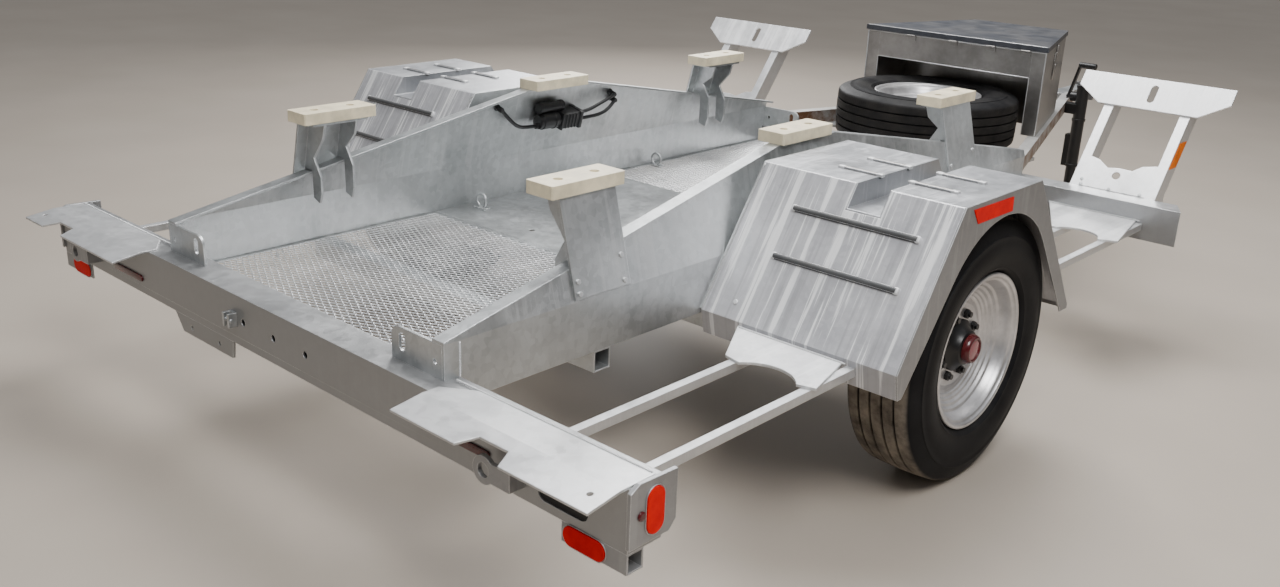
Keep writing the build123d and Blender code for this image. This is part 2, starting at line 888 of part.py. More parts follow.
def guard_plate():
    """Flat shield across the tubes' upper ends, with a slot in its middle."""
    low, corner, top = guard_plate_reach
    half = guard_long_half
    plate = outline(
        [
            (-guard_short_half, low),
            (guard_short_half, low),
            (half, corner),
            (half, top),
            (-half, top),
            (-half, corner),
        ]
    )
    slot = Pos(0, corner) * Rot(0, 0, 90) * SlotOverall(78, 27)
    return extrude(guard_plane() * (plate - slot), amount=guard_plate_wall)


def pads():
    """Pads on the rails and their brackets, each with two counterbored bolt holes."""
    all_pads = []
    for y in (pad_rear_y, pad_middle_y, pad_front_y):
        pad = block(
            pad_x - pad_width / 2, pad_x + pad_width / 2, y - pad_length / 2, y + pad_length / 2, pad_bottom_z, pad_top_z
        )
        pad = chamfer(pad.edges().filter_by(Axis.Z), 4)
        for side in left_and_right:
            bolt_y = y + side * pad_bolt_spacing / 2
            pad -= rod_z(pad_counterbore_radius, pad_top_z - 12, pad_top_z + 1, pad_x, bolt_y)
        all_pads.append(pair(pad))
    return group(all_pads)


def pad_bracket(y):
    """Leaning outer plate, flat head under the pad and two scalloped ribs that straddle the rail's top."""
    y0 = y - bracket_width / 2
    y1 = y + bracket_width / 2
    head_z = pad_bottom_z - bracket_wall
    outer_low = web_x(bracket_bottom_z)
    outer_top = web_x(pad_bottom_z)
    bracket = cross_plate(
        [
            (outer_low, bracket_bottom_z),
            (outer_low + bracket_wall, bracket_bottom_z),
            (outer_top + bracket_wall, pad_bottom_z),
            (outer_top, pad_bottom_z),
        ],
        y0,
        y1,
    )
    head_in = pad_x - pad_width / 2 + 4
    bracket += block(head_in, outer_top + 2, y0, y1, head_z, pad_bottom_z)
    for rib_y in (y0 + rib_inset, y1 - rib_inset):
        rail_top = max(hump_z(rib_y - rib_wall), hump_z(rib_y + rib_wall))
        inner = web_x(rail_top) - flange_width - 1
        bracket += cross_plate(
            [
                (outer_top + 1, head_z + 1),
                (web_x(rail_top + 1) + 1, rail_top + 1),
                (inner, rail_top + 1),
                (inner, bracket_bottom_z),
                (inner - 34, bracket_bottom_z - 12),
                (inner - 46, bracket_bottom_z + 24),
                (inner - 46, rail_top - 12),
                (inner - 12, rail_top + 44),
                (head_in + 14, head_z - 44),
                (head_in, head_z + 1),
            ],
            rib_y - rib_wall / 2,
            rib_y + rib_wall / 2,
        )
    return bracket


def tongue_outer_x(y):
    """Outer face of the right tongue rail along its length."""
    return tongue_rear_x - (y - rail_front_y) * tongue_taper


def tongue_rails():
    """Two box rails on the front beam, that run in from the hump rails' ends to the drawbar's sides."""
    z0, z1 = tongue_bottom_z, tongue_top_z
    y0 = rail_front_y
    meet_out = y0 + (tongue_rear_x - drawbar_half) / tongue_taper
    meet_in = meet_out - tongue_width / tongue_taper
    rail = plan_plate(
        [(tongue_rear_x, y0), (tongue_rear_x - tongue_width, y0), (drawbar_half, meet_in), (drawbar_half, meet_out)], z0, z1
    )
    w = tongue_wall
    far = meet_out + 300
    shift = (far - y0 + 10) * tongue_taper
    start_x = tongue_rear_x + 10 * tongue_taper
    hollow = plan_plate(
        [
            (start_x - w, y0 - 10),
            (start_x - tongue_width + w, y0 - 10),
            (start_x - tongue_width + w - shift, far),
            (start_x - w - shift, far),
        ],
        z0 + w,
        z1 - w,
    )
    return pair(rail - hollow)


def drawbar():
    rear_y = rail_front_y + (tongue_rear_x - drawbar_half - tongue_width) / tongue_taper
    return block(-drawbar_half, drawbar_half, rear_y, drawbar_front_y, tongue_bottom_z, tongue_top_z)


coupler_z = tongue_top_z - tongue_height / 2
coupler_ring_y = drawbar_front_y + coupler_reach + coupler_ring_radius


def coupler():
    """Towing eye on a bolted base."""
    half = coupler_bar / 2
    ring = Pos(0, coupler_ring_y, coupler_z) * Torus(coupler_ring_radius, half)
    shank = block(-half, half, drawbar_front_y, coupler_ring_y - coupler_ring_radius, coupler_z - half, coupler_z + half)
    low, high = coupler_z - coupler_base_half, coupler_z + coupler_base_half
    base = block(-60, 60, drawbar_front_y, drawbar_front_y + 16, low, high)
    eye = rod_z(coupler_bore_radius, coupler_z - coupler_bar, coupler_z + coupler_bar, 0, coupler_ring_y)
    return ring + shank + base - eye


jack_case_x = jack_x - jack_tube_radius - jack_case_reach


def jack_tube():
    """Outer tube with a closed top, its bracket on the right tongue rail, side case and the crank's gear case."""
    bore = jack_leg_radius + jack_leg_gap
    tube = rod_z(jack_tube_radius, jack_tube_bottom_z, jack_top_z, jack_x, jack_y)
    y0, y1 = jack_y - 28, jack_y + 28
    tube += plan_plate(
        [(tongue_outer_x(y0), y0), (jack_x, y0), (jack_x, y1), (tongue_outer_x(y1), y1)],
        tongue_bottom_z + 5,
        tongue_top_z - 5,
    )
    width, height = jack_side_case
    tube += block(jack_x - width, jack_x, jack_y - 22, jack_y + 22, jack_tube_bottom_z, jack_tube_bottom_z + height)
    tube += rod_x(24, jack_case_x, jack_x, jack_y, crank_z)
    return tube - rod_z(bore, jack_tube_bottom_z - 1, jack_top_z - jack_cap - 60, jack_x, jack_y)


def jack_leg():
    leg = rod_z(jack_leg_radius, jack_foot_wall, jack_leg_top_z, jack_x, jack_y)
    return leg + rod_z(jack_foot_radius, 0, jack_foot_wall, jack_x, jack_y)


def jack_crank():
    """Crank on the gear case's left, with its arm swung up over the tube's top."""
    low_x = jack_case_x - 2 * crank_bar
    top_x = low_x + crank_swing
    crank = rod_x(9, low_x, jack_case_x, jack_y, crank_z)
    crank += cross_plate(
        [
            (low_x, crank_z - crank_bar),
            (low_x + crank_bar, crank_z - crank_bar),
            (top_x + crank_bar, crank_top_z),
            (top_x, crank_top_z),
        ],
        jack_y - 10,
        jack_y + 10,
    )
    return crank + rod_x(14, top_x, top_x + crank_grip, jack_y, crank_top_z)


box_rear_half = tongue_outer_x(box_rear_y) - box_inset
box_front_half = tongue_outer_x(box_rear_y + box_length) - box_inset
box_gap_half = box_rear_half - box_flange


def box_plan(inset, z0, z1):
    """The toolbox's tapered plan, drawn in from its outside by an inset."""
    rear, front = box_rear_y + inset, box_rear_y + box_length - inset
    taper = (box_rear_half - box_front_half) / box_length
    side = inset * sqrt(1 + taper * taper)
    rear_half = box_rear_half - inset * taper - side
    front_half = box_front_half + inset * taper - side
    return plan_plate([(-rear_half, rear), (rear_half, rear), (front_half, front), (-front_half, front)], z0, z1)


box_body_top = box_top_z - lid_height
hinge_y = box_rear_y - hinge_stand_off
hinge_z = box_body_top - hinge_drop


def toolbox_sides():
    """Side panels, each with a flange folded in over the rear."""
    z0 = tongue_top_z
    shell = box_plan(0, z0, box_body_top) - box_plan(box_wall, z0 - 1, box_body_top + 1)
    rear, front = box_rear_y, box_rear_y + box_length
    ends = block(-box_gap_half, box_gap_half, rear - 1, rear + box_wall + 1, z0 - 1, box_body_top + 1)
    ends += block(-600, 600, front - box_wall, front + 1, z0 - 1, box_body_top + 1)
    right = (shell - ends) & block(0, 600, rear, front, z0, box_body_top)
    return pair(right)


def toolbox_front():
    front = box_rear_y + box_length
    slab = block(-600, 600, front - box_wall, front, tongue_top_z, box_body_top)
    return slab & box_plan(0, tongue_top_z, box_body_top)


def toolbox_rear():
    """Upper band, slanted shelf over the spare tyre and the bulkhead behind it, bent from one sheet."""
    bulkhead_y = box_rear_y + box_recess
    sheet = bent_sheet(
        [
            (bulkhead_y, tongue_top_z + box_wall),
            (bulkhead_y, box_shelf_z),
            (box_rear_y, box_band_z),
            (box_rear_y, box_body_top),
        ],
        box_wall,
        -box_rear_half,
        box_rear_half,
    )
    return sheet & box_plan(box_wall, tongue_top_z, box_body_top).fuse(
        block(-box_gap_half, box_gap_half, box_rear_y, box_rear_y + box_wall + 1, box_band_z - 20, box_body_top)
    )


def toolbox_floor():
    inside = box_plan(box_wall, tongue_top_z, tongue_top_z + box_wall)
    return inside - block(-600, 600, 0, box_rear_y + box_recess, tongue_top_z - 1, tongue_top_z + box_wall + 1)


def toolbox_lid():
    """Flat lid with a folded rim that closes on the box's walls, open underneath."""
    low = box_body_top + lid_gap
    return box_plan(-lid_overhang, low, box_top_z) - box_plan(lid_rim, low - 1, box_top_z - lid_wall)


def toolbox_fittings():
    """Row of small hinge leaves on the rear band, each with its rolled pin behind the lid's edge."""
    half = tab_width / 2
    leaves = []
    for x in tab_x:
        leaf = block(x - half, x + half, box_rear_y - tab_wall, box_rear_y, box_body_top - tab_height, box_body_top)
        leaves.append(leaf + rod_x(hinge_pin_radius, x - half, x + half, hinge_y, hinge_z))
    return group(leaves)


def spare_carrier():
    """Cross plate under the tongue rails, with the post through the spare rim."""
    half = carrier_width / 2
    low = spare_bottom_z - carrier_wall
    plate = block(-carrier_half, carrier_half, spare_y - half, spare_y + half, low, spare_bottom_z)
    return plate + rod_z(30, low, spare_bottom_z + tyre_width / 2 + 60, 0, spare_y)


def laid_flat(shape):
    """Turns a wheel piece from the X axis to lie flat, and sets it on the carrier."""
    return Pos(0, spare_y, spare_bottom_z + tyre_width / 2) * Rot(0, -90, 0) * shape


actuator_rear_y = -20
actuator_front_y = 190
actuator_low = 112
actuator_high = 178
actuator_depth = 70
hose_radius = 7
plug_radius = 10


def actuator():
    """Black brake actuator and its smaller upper housing on the left rail's leaning web."""
    plane = on_web(rail_wall + seat_gap)
    lower = Pos((actuator_rear_y + actuator_front_y) / 2, (actuator_low + actuator_high) / 2) * RectangleRounded(
        actuator_front_y - actuator_rear_y, actuator_high - actuator_low, 12
    )
    unit = extrude(plane * lower, amount=-actuator_depth)
    upper = Pos(actuator_rear_y + 60, actuator_high + 16) * RectangleRounded(150, 36, 10)
    return other_side(unit + extrude(plane * upper, amount=-actuator_depth + 24))


def hose(points):
    """Round hose along (forwards, up the web, off the web) points, with arcs at its corners."""
    plane = on_web(rail_wall)
    path_points = [plane.from_local_coords(Vector(y, up, -off)) for y, up, off in points]
    runs = [(b - a).length for a, b in zip(path_points, path_points[1:])]
    radii = []
    for index in range(1, len(points) - 1):
        turn = (path_points[index] - path_points[index - 1]).get_angle(path_points[index + 1] - path_points[index])
        radii.append(0.45 * min(runs[index - 1], runs[index]) / tan(radians(turn / 2)))
    path = FilletPolyline(*path_points, radius=radii)
    start = Plane(origin=path @ 0, z_dir=path % 0)
    tube = sweep(start * Circle(hose_radius), path=path)
    print("hose radii", [round(r) for r in radii])
    return other_side(tube)


def hoses():
    """Three hoses from the actuator's ends, each ending in a short plug against the web."""
    low, high = actuator_low + 20, actuator_high - 16
    routes = (
        [(actuator_rear_y, low, 40), (-62, low, 40), (-116, 142, 44), (-162, 176, 40), (-196, 212, 26)],
        [(actuator_front_y, high, 44), (236, high, 44), (290, 186, 48), (345, 198, 40), (386, 204, 26)],
        [(actuator_front_y, low, 40), (240, low, 40), (300, 140, 50), (352, 158, 48), (398, 178, 26)],
    )
    shapes = []
    plane = on_web(rail_wall + seat_gap)
    for route in routes:
        y, up, off = route[-1]
        plug = extrude(plane * (Pos(y, up) * Circle(plug_radius)), amount=-(off + plug_radius))
        shapes.append(hose(route) + other_side(plug))
    return group(shapes)


def slot_lamp(x, z, size, y, wall):
    """Oval lamp on a face that looks to the rear."""
    plane = Plane(origin=(x, y, z), x_dir=(1, 0, 0), z_dir=(0, -1, 0))
    return extrude(plane * SlotOverall(*size), amount=wall)


def red_lamps():
    lamps = []
    # Rear ovals on the lamp plates, and the strips on the beam's face
    tail_x = half_width - tail_lamp_inset
    right_strip_x = half_width - strip_lamp_right[0]
    left_strip_x = strip_lamp_left[0] - half_width
    for x, z, size in (
        (tail_x, tail_lamp_z, tail_lamp_size),
        (-tail_x, tail_lamp_z, tail_lamp_size),
        (right_strip_x, strip_lamp_right[1], strip_lamp_size),
        (left_strip_x, strip_lamp_left[1], strip_lamp_size),
    ):
        lamps.append(slot_lamp(x, z, size, rear_beam_y, lamp_wall))
    # Upright ovals and small round markers on the end plates, reflectors on the fender skirts
    side_plane = Plane(origin=(half_width, end_lamp_y, end_lamp_z), x_dir=(0, 0, 1), z_dir=(1, 0, 0))
    lamps.append(pair(extrude(side_plane * SlotOverall(*end_lamp_size), amount=lamp_wall)))
    lamps.append(pair(rod_x(9, half_width, half_width + lamp_wall, rear_beam_y + 26, end_lamp_z)))
    top = fender_top_z - 13
    strip = [(-205, top), (18, top - 3), (20, top - 43), (-174, top - 43)]
    lamps.append(pair(side_plate(strip, half_width, half_width + 2)))
    return group(lamps)


def amber_reflectors():
    """Strips on the outer faces of the guards' outer tubes, along their lean."""
    x = guard_x + guard_spacing / 2 + guard_tube_width / 2
    z0, z1 = amber_z
    y0 = front_beam_front_y + amber_margin + (z0 - beam_top) * guard_lean
    y1 = front_beam_front_y + amber_margin + (z1 - beam_top) * guard_lean
    strip = side_plate([(y0, z0), (y0 + amber_width, z0), (y1 + amber_width, z1), (y1, z1)], x, x + 3)
    return pair(strip)


# Frame
both_sides("rail", hump_rail())
nodes["rail_end_lugs"] = rail_end_lugs()
nodes["rear_beam"] = rear_beam()
nodes["front_beam"] = front_beam()
nodes["tail_brackets"] = tail_brackets()
nodes["end_plates"] = end_plates()
nodes["step_plates"] = group([step_plate(step_notch_inset[0]), other_side(step_plate(step_notch_inset[1]))])
nodes["eye_lugs"] = eye_lugs()
nodes["rear_hanger"] = rear_hanger()
nodes["rear_clevis"] = rear_clevis()
nodes["floor_meshes"] = group(
    [floor_panel(rear_beam_front_y, rear_mesh_front_y), floor_panel(front_mesh_rear_y, front_beam_y)]
)
nodes["floor_plate"] = floor_panel(rear_mesh_front_y, front_mesh_rear_y) - rod_z(
    11, rail_bottom - 1, floor_top + 1, floor_hole[0], floor_hole[1]
)
nodes["floor_rings"] = floor_rings()
nodes["cross_members"] = cross_members()

# Axle
nodes["axle_beam"] = axle_beam()
nodes["torsion_arms"] = torsion_arms()
nodes["spindles"] = spindles()

# Fenders and their braces
nodes["fender_tops"] = pair(fender_top())
nodes["fender_slopes"] = pair(fender_slopes())
nodes["fender_skirts"] = pair(fender_skirt())
nodes["fender_inner_walls"] = pair(fender_inner_wall())
nodes["rear_gussets"] = rear_gussets()
nodes["front_gussets"] = front_gussets()
nodes["brace_bars"] = brace_bars()

# Guards and pads
nodes["light_guards"] = pair(light_guard())
nodes["guard_plates"] = pair(guard_plate())
nodes["pads"] = pads()
nodes["pad_brackets"] = group([pair(pad_bracket(pad_rear_y)), pair(pad_bracket(pad_front_y))])

# Tongue, coupler and jack
nodes["tongue_rails"] = tongue_rails()
nodes["drawbar"] = drawbar()
nodes["coupler"] = coupler()
nodes["jack_tube"] = jack_tube()
nodes["jack_leg"] = jack_leg()
nodes["jack_crank"] = jack_crank()

# Toolbox and spare wheel
nodes["toolbox_floor"] = toolbox_floor()
nodes["toolbox_sides"] = toolbox_sides()
nodes["toolbox_front"] = toolbox_front()
nodes["toolbox_rear"] = toolbox_rear()
nodes["toolbox_lid"] = toolbox_lid()
nodes["toolbox_fittings"] = toolbox_fittings()
nodes["spare_carrier"] = spare_carrier()
nodes["spare_tyre"] = laid_flat(tyre(0))
nodes["spare_rim"] = laid_flat(rim(0))

# Brake actuator, lamps
nodes["actuator"] = actuator()
nodes["hoses"] = hoses()
nodes["red_lamps"] = red_lamps()
nodes["amber_reflectors"] = amber_reflectors()

# Wheels
at_hub_height = Pos(0, wheel_y, tyre_radius)
both_sides("hub", at_hub_height * hub())
both_sides("rim", at_hub_height * rim(wheel_centre_x))
both_sides("tyre", at_hub_height * tyre(wheel_centre_x))

# Footprint, and the shift to its middle
rearmost_y = step_rear_y
foremost_y = coupler_ring_y + coupler_ring_radius + coupler_bar / 2
middle_y = (rearmost_y + foremost_y) / 2

os.makedirs("parts", exist_ok=True)
for name, shape in nodes.items():
    export_step(Pos(0, -middle_y, 0) * shape, "parts/" + name + ".step")
print("nodes", len(nodes), "middle_y", middle_y, "length", foremost_y - rearmost_y)
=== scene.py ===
"""Looks of the galvanised off-road trailer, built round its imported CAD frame. Metres."""
import math

import bpy
import bmesh
from mathutils import Matrix, Vector


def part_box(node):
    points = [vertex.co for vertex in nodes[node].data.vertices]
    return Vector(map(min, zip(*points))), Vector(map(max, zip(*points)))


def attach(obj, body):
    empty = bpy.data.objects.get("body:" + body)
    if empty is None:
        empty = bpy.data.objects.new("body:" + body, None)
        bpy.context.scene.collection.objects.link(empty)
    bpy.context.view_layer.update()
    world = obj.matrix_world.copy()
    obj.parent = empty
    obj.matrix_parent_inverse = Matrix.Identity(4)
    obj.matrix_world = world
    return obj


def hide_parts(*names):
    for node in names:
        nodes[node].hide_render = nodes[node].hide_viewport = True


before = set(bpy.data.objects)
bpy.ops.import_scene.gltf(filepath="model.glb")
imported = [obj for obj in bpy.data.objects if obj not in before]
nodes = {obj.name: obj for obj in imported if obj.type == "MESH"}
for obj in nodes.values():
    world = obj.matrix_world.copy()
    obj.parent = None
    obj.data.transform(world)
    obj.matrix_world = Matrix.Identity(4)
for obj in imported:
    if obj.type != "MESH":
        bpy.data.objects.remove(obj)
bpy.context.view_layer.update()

# The source's working lengths run from the wheel arch's middle, in millimetres
arch_y = -1.108


def at(x, y, z):
    return Vector((x / 1000, y / 1000 + arch_y, z / 1000))


# Camera, fitted to the rails, beams, wheels and pads
camera_place = at(2648.4, -2978.8, 1691.1)
camera_yaw = math.radians(-42.047)
camera_pitch = math.radians(-19.964)
camera_roll = math.radians(2.148)
focal_pixels = 1189.83
picture_width = 1280
sensor_width = 36
far_clip = 60


def place_camera():
    ahead = Vector(
        (
            math.sin(camera_yaw) * math.cos(camera_pitch),
            math.cos(camera_yaw) * math.cos(camera_pitch),
            math.sin(camera_pitch),
        )
    )
    level = Vector((math.cos(camera_yaw), -math.sin(camera_yaw), 0))
    above = level.cross(ahead)
    right = level * math.cos(camera_roll) + above * math.sin(camera_roll)
    up = above * math.cos(camera_roll) - level * math.sin(camera_roll)
    bpy.ops.object.camera_add(location=camera_place)
    camera = bpy.context.active_object
    turn = Matrix((right, up, -ahead)).transposed()
    camera.rotation_euler = turn.to_euler()
    camera.data.sensor_width = sensor_width
    camera.data.lens = focal_pixels * sensor_width / picture_width
    camera.data.clip_end = far_clip
    bpy.context.scene.camera = camera


# Shader groups


def new_group(name, inputs, outputs):
    """Empty shader group. inputs and outputs are (name, kind, default)."""
    group = bpy.data.node_groups.new(name, "ShaderNodeTree")
    for direction, sockets in (("INPUT", inputs), ("OUTPUT", outputs)):
        for label, kind, value in sockets:
            socket = group.interface.new_socket(name=label, in_out=direction, socket_type="NodeSocket" + kind)
            if value is not None:
                socket.default_value = value
    return group


def tone(shade):
    """A grey or a colour as a socket takes it. A socket stays as it is."""
    if isinstance(shade, bpy.types.NodeSocket):
        return shade
    if isinstance(shade, tuple):
        return (*shade, 1)
    return (shade, shade, shade, 1)


class Sheet:
    """Short way to lay out a node tree: add a node, set its values, link its sockets."""

    def __init__(self, tree):
        self.tree = tree

    def link(self, source, socket):
        self.tree.links.new(source, socket)

    def add(self, kind, links=None, **values):
        node = self.tree.nodes.new("ShaderNode" + kind)
        for name, value in values.items():
            setattr(node, name, value)
        for name, source in (links or {}).items():
            socket = node.inputs[name]
            if isinstance(source, bpy.types.NodeSocket):
                self.link(source, socket)
            else:
                socket.default_value = source
        return node

    def math(self, operation, a, b=0.0, clamp=False):
        return self.add("Math", {0: a, 1: b}, operation=operation, use_clamp=clamp).outputs[0]

    def times(self, a, b):
        return self.math("MULTIPLY", a, b)

    def plus(self, a, b, clamp=False):
        return self.math("ADD", a, b, clamp)

    def rising(self, source, factor, start):
        """A starting value plus the source times a factor."""
        return self.add("Math", {0: source, 1: factor, 2: start}, operation="MULTIPLY_ADD").outputs[0]

    def mix(self, factor, a, b):
        return self.add("Mix", {0: factor, 6: tone(a), 7: tone(b)}, data_type="RGBA").outputs[2]

    def ramp(self, source, stops):
        node = self.add("ValToRGB", {0: source})
        places = node.color_ramp.elements
        places[0].position, places[0].color = stops[0][0], tone(stops[0][1])
        places[1].position, places[1].color = stops[-1][0], tone(stops[-1][1])
        for place, shade in stops[1:-1]:
            places.new(place).color = tone(shade)
        return node.outputs[0]

    def noise(self, vector, scale, detail=3.0, roughness=0.55):
        links = {"Vector": vector, "Scale": scale, "Detail": detail, "Roughness": roughness}
        return self.add("TexNoise", links).outputs[0]

    def group(self, group, links):
        return self.add("Group", links, node_tree=group)


def group_ends(group):
    tree = Sheet(group)
    return tree, group.nodes.new("NodeGroupInput").outputs, group.nodes.new("NodeGroupOutput").inputs


def spangle_group():
    """Zinc crystals, clouds and fine relief on a dipped surface."""
    group = new_group(
        "zinc spangle",
        [("Crystal Size", "Float", 0.02), ("Cloud Size", "Float", 0.25)],
        [("Crystal", "Float", None), ("Cloud", "Float", None), ("Height", "Float", None)],
    )
    tree, given, put = group_ends(group)
    place = tree.add("TexCoord").outputs["Object"]
    warp = tree.add("TexNoise", {"Vector": place, "Scale": 30.0, "Detail": 2.0}).outputs[1]
    soft = tree.add("Mix", {0: 0.015, 4: place, 5: warp}, data_type="VECTOR").outputs[1]
    cell_scale = tree.math("DIVIDE", 1.0, given["Crystal Size"])
    cells = tree.add("TexVoronoi", {"Vector": soft, "Scale": cell_scale}, feature="F1")
    crystal = tree.add("SeparateColor", {0: cells.outputs["Color"]}).outputs[0]
    cloud = tree.noise(place, tree.math("DIVIDE", 1.0, given["Cloud Size"]), 4.0, 0.6)
    tree.link(crystal, put["Crystal"])
    tree.link(tree.ramp(cloud, [(0.3, 0.0), (0.7, 1.0)]), put["Cloud"])
    tree.link(tree.noise(place, 220.0, 2.0), put["Height"])
    return group


def runs_group():
    """Runs of zinc down the sheet, strongest where it leans, and a mask of upright faces for the painted
    shade on them.
    """
    group = new_group(
        "zinc runs",
        [("Width", "Float", 0.03), ("Level Too", "Float", 0.0)],
        [("Light", "Float", None), ("Dark", "Float", None), ("Upright", "Float", None)],
    )
    tree, given, put = group_ends(group)
    place = tree.add("TexCoord").outputs["Object"]
    parts = tree.add("SeparateXYZ", {0: place}).outputs
    flat = tree.add("SeparateXYZ", {0: tree.add("NewGeometry").outputs["True Normal"]}).outputs
    sideways = tree.math("GREATER_THAN", tree.math("ABSOLUTE", flat[0]), tree.math("ABSOLUTE", flat[1]))
    side = tree.add("Mix", {0: sideways, 2: parts[0], 3: parts[1]}, data_type="FLOAT").outputs[0]
    other = tree.add("Mix", {0: sideways, 2: parts[1], 3: parts[0]}, data_type="FLOAT").outputs[0]
    thin = tree.math("DIVIDE", side, given["Width"])
    masks = []
    for finer, along, detail in ((1.0, 1.1, 3.0), (3.4, 2.3, 4.0)):
        drawn_out = {0: tree.times(thin, finer), 1: tree.times(other, along), 2: tree.times(parts[2], along)}
        line = tree.add("CombineXYZ", drawn_out)
        masks.append(tree.noise(line.outputs[0], 1.0, detail, 0.6))
    both = tree.plus(tree.times(masks[0], 0.55), tree.times(masks[1], 0.45))
    level = tree.math("ABSOLUTE", flat[2])
    lean = tree.ramp(level, [(0.12, 0.3), (0.3, 1.0), (0.8, 1.0), (0.93, 0.0)])
    lean = tree.math("MAXIMUM", lean, given["Level Too"])
    light = tree.ramp(both, [(0.53, 0.0), (0.555, 0.85), (0.62, 1.0)])
    dark = tree.ramp(both, [(0.36, 1.0), (0.47, 0.0)])
    tree.link(tree.times(light, lean), put["Light"])
    tree.link(tree.times(dark, lean), put["Dark"])
    # Upright faces, masked for the painted shade that zinc() lays on them
    tree.link(tree.ramp(level, [(0.2, 1.0), (0.5, 0.0)]), put["Upright"])
    return group


def edge_group():
    """Mask along edges, broken up by noise, and the rounded normal there."""
    group = new_group(
        "edge wear and highlight",
        [("Radius", "Float", 0.003), ("Break Up", "Float", 0.5)],
        [("Edge", "Float", None), ("Normal", "Vector", None)],
    )
    tree, given, put = group_ends(group)
    rounded = tree.add("Bevel", {"Radius": given["Radius"]}, samples=4).outputs[0]
    flat = tree.add("NewGeometry").outputs["Normal"]
    same = tree.add("VectorMath", {0: rounded, 1: flat}, operation="DOT_PRODUCT").outputs["Value"]
    edge = tree.ramp(same, [(0.75, 1.0), (0.985, 0.0)])
    place = tree.add("TexCoord").outputs["Object"]
    patches = tree.noise(place, 45.0, 4.0, 0.65)
    rough = tree.ramp(patches, [(0.42, 0.0), (0.6, 1.0)])
    kept = tree.add("Mix", {0: given["Break Up"], 2: 1.0, 3: rough}, data_type="FLOAT").outputs[0]
    tree.link(tree.times(edge, kept), put["Edge"])
    tree.link(rounded, put["Normal"])
    return group


def dust_group():
    """Patchy dust, thickest on faces that look up."""
    group = new_group(
        "workshop dust",
        [("Amount", "Float", 0.3), ("Patch Size", "Float", 0.2)],
        [("Dust", "Float", None)],
    )
    tree, given, put = group_ends(group)
    place = tree.add("TexCoord").outputs["Object"]
    facing = tree.add("SeparateXYZ", {0: tree.add("NewGeometry").outputs["Normal"]}).outputs[2]
    top = tree.ramp(facing, [(0.3, 0.15), (0.95, 1.0)])
    cloud = tree.noise(place, tree.math("DIVIDE", 1.0, given["Patch Size"]), 5.0, 0.65)
    speck = tree.noise(place, 160.0, 2.0)
    both = tree.plus(tree.times(cloud, 0.8), tree.times(speck, 0.2))
    mask = tree.ramp(both, [(0.4, 0.0), (0.72, 1.0)])
    tree.link(tree.times(tree.times(mask, top), given["Amount"]), put["Dust"])
    return group


def wheel_turn_group():
    """How far a point is round a wheel, as repeated bands, and how far out it is."""
    group = new_group(
        "round the wheel",
        [("Centre", "Vector", None), ("Lie", "Vector", None), ("Bands", "Float", 200.0)],
        [("Band", "Float", None), ("Radius", "Float", None)],
    )
    tree, given, put = group_ends(group)
    place = tree.add("TexCoord").outputs["Object"]
    from_middle = tree.add("VectorMath", {0: place, 1: given["Centre"]}, operation="SUBTRACT").outputs[0]
    turned_back = {"Vector": from_middle, "Rotation": given["Lie"]}
    laid = tree.add("VectorRotate", turned_back, rotation_type="EULER_XYZ").outputs[0]
    round_share = tree.add("TexGradient", {0: laid}, gradient_type="RADIAL").outputs[1]
    flat = tree.add("VectorMath", {0: laid, 1: (1, 1, 0)}, operation="MULTIPLY").outputs[0]
    radius = tree.add("VectorMath", {0: flat}, operation="LENGTH").outputs["Value"]
    tree.link(tree.math("FRACT", tree.times(round_share, given["Bands"])), put["Band"])
    tree.link(radius, put["Radius"])
    return group


zinc_spangle = spangle_group()
zinc_runs = runs_group()
edge_wear_and_highlight = edge_group()
workshop_dust = dust_group()
round_the_wheel = wheel_turn_group()

# Finishes
# Near white painted onto zinc edges as a highlight
edge_highlight = (0.95, 0.955, 0.96)
rust_brown = (0.17, 0.085, 0.045)
zinc_dust = (0.45, 0.42, 0.38)
paint_dust = (0.36, 0.33, 0.29)
tread_earth = (0.36, 0.31, 0.25)
wall_dust = (0.2, 0.19, 0.17)
wall_shades = [(0.3, (0.005, 0.005, 0.006)), (0.7, (0.012, 0.012, 0.013))]
near_black = (0.006, 0.006, 0.007)


def new_material(name, **sockets):
    material = bpy.data.materials.new(name)
    material.use_nodes = True
    shader = material.node_tree.nodes["Principled BSDF"]
    for label, value in sockets.items():
        shader.inputs[label.replace("_", " ")].default_value = value
    return material, Sheet(material.node_tree), shader


def put_on(tree, shader, colour, gloss, relief):
    """Links a material's colour and roughness to its shader, and its relief by way of a bump."""
    bumped = tree.add("Bump", relief).outputs[0]
    for label, source in (("Base Color", colour), ("Roughness", gloss), ("Normal", bumped)):
        tree.link(source, shader.inputs[label])


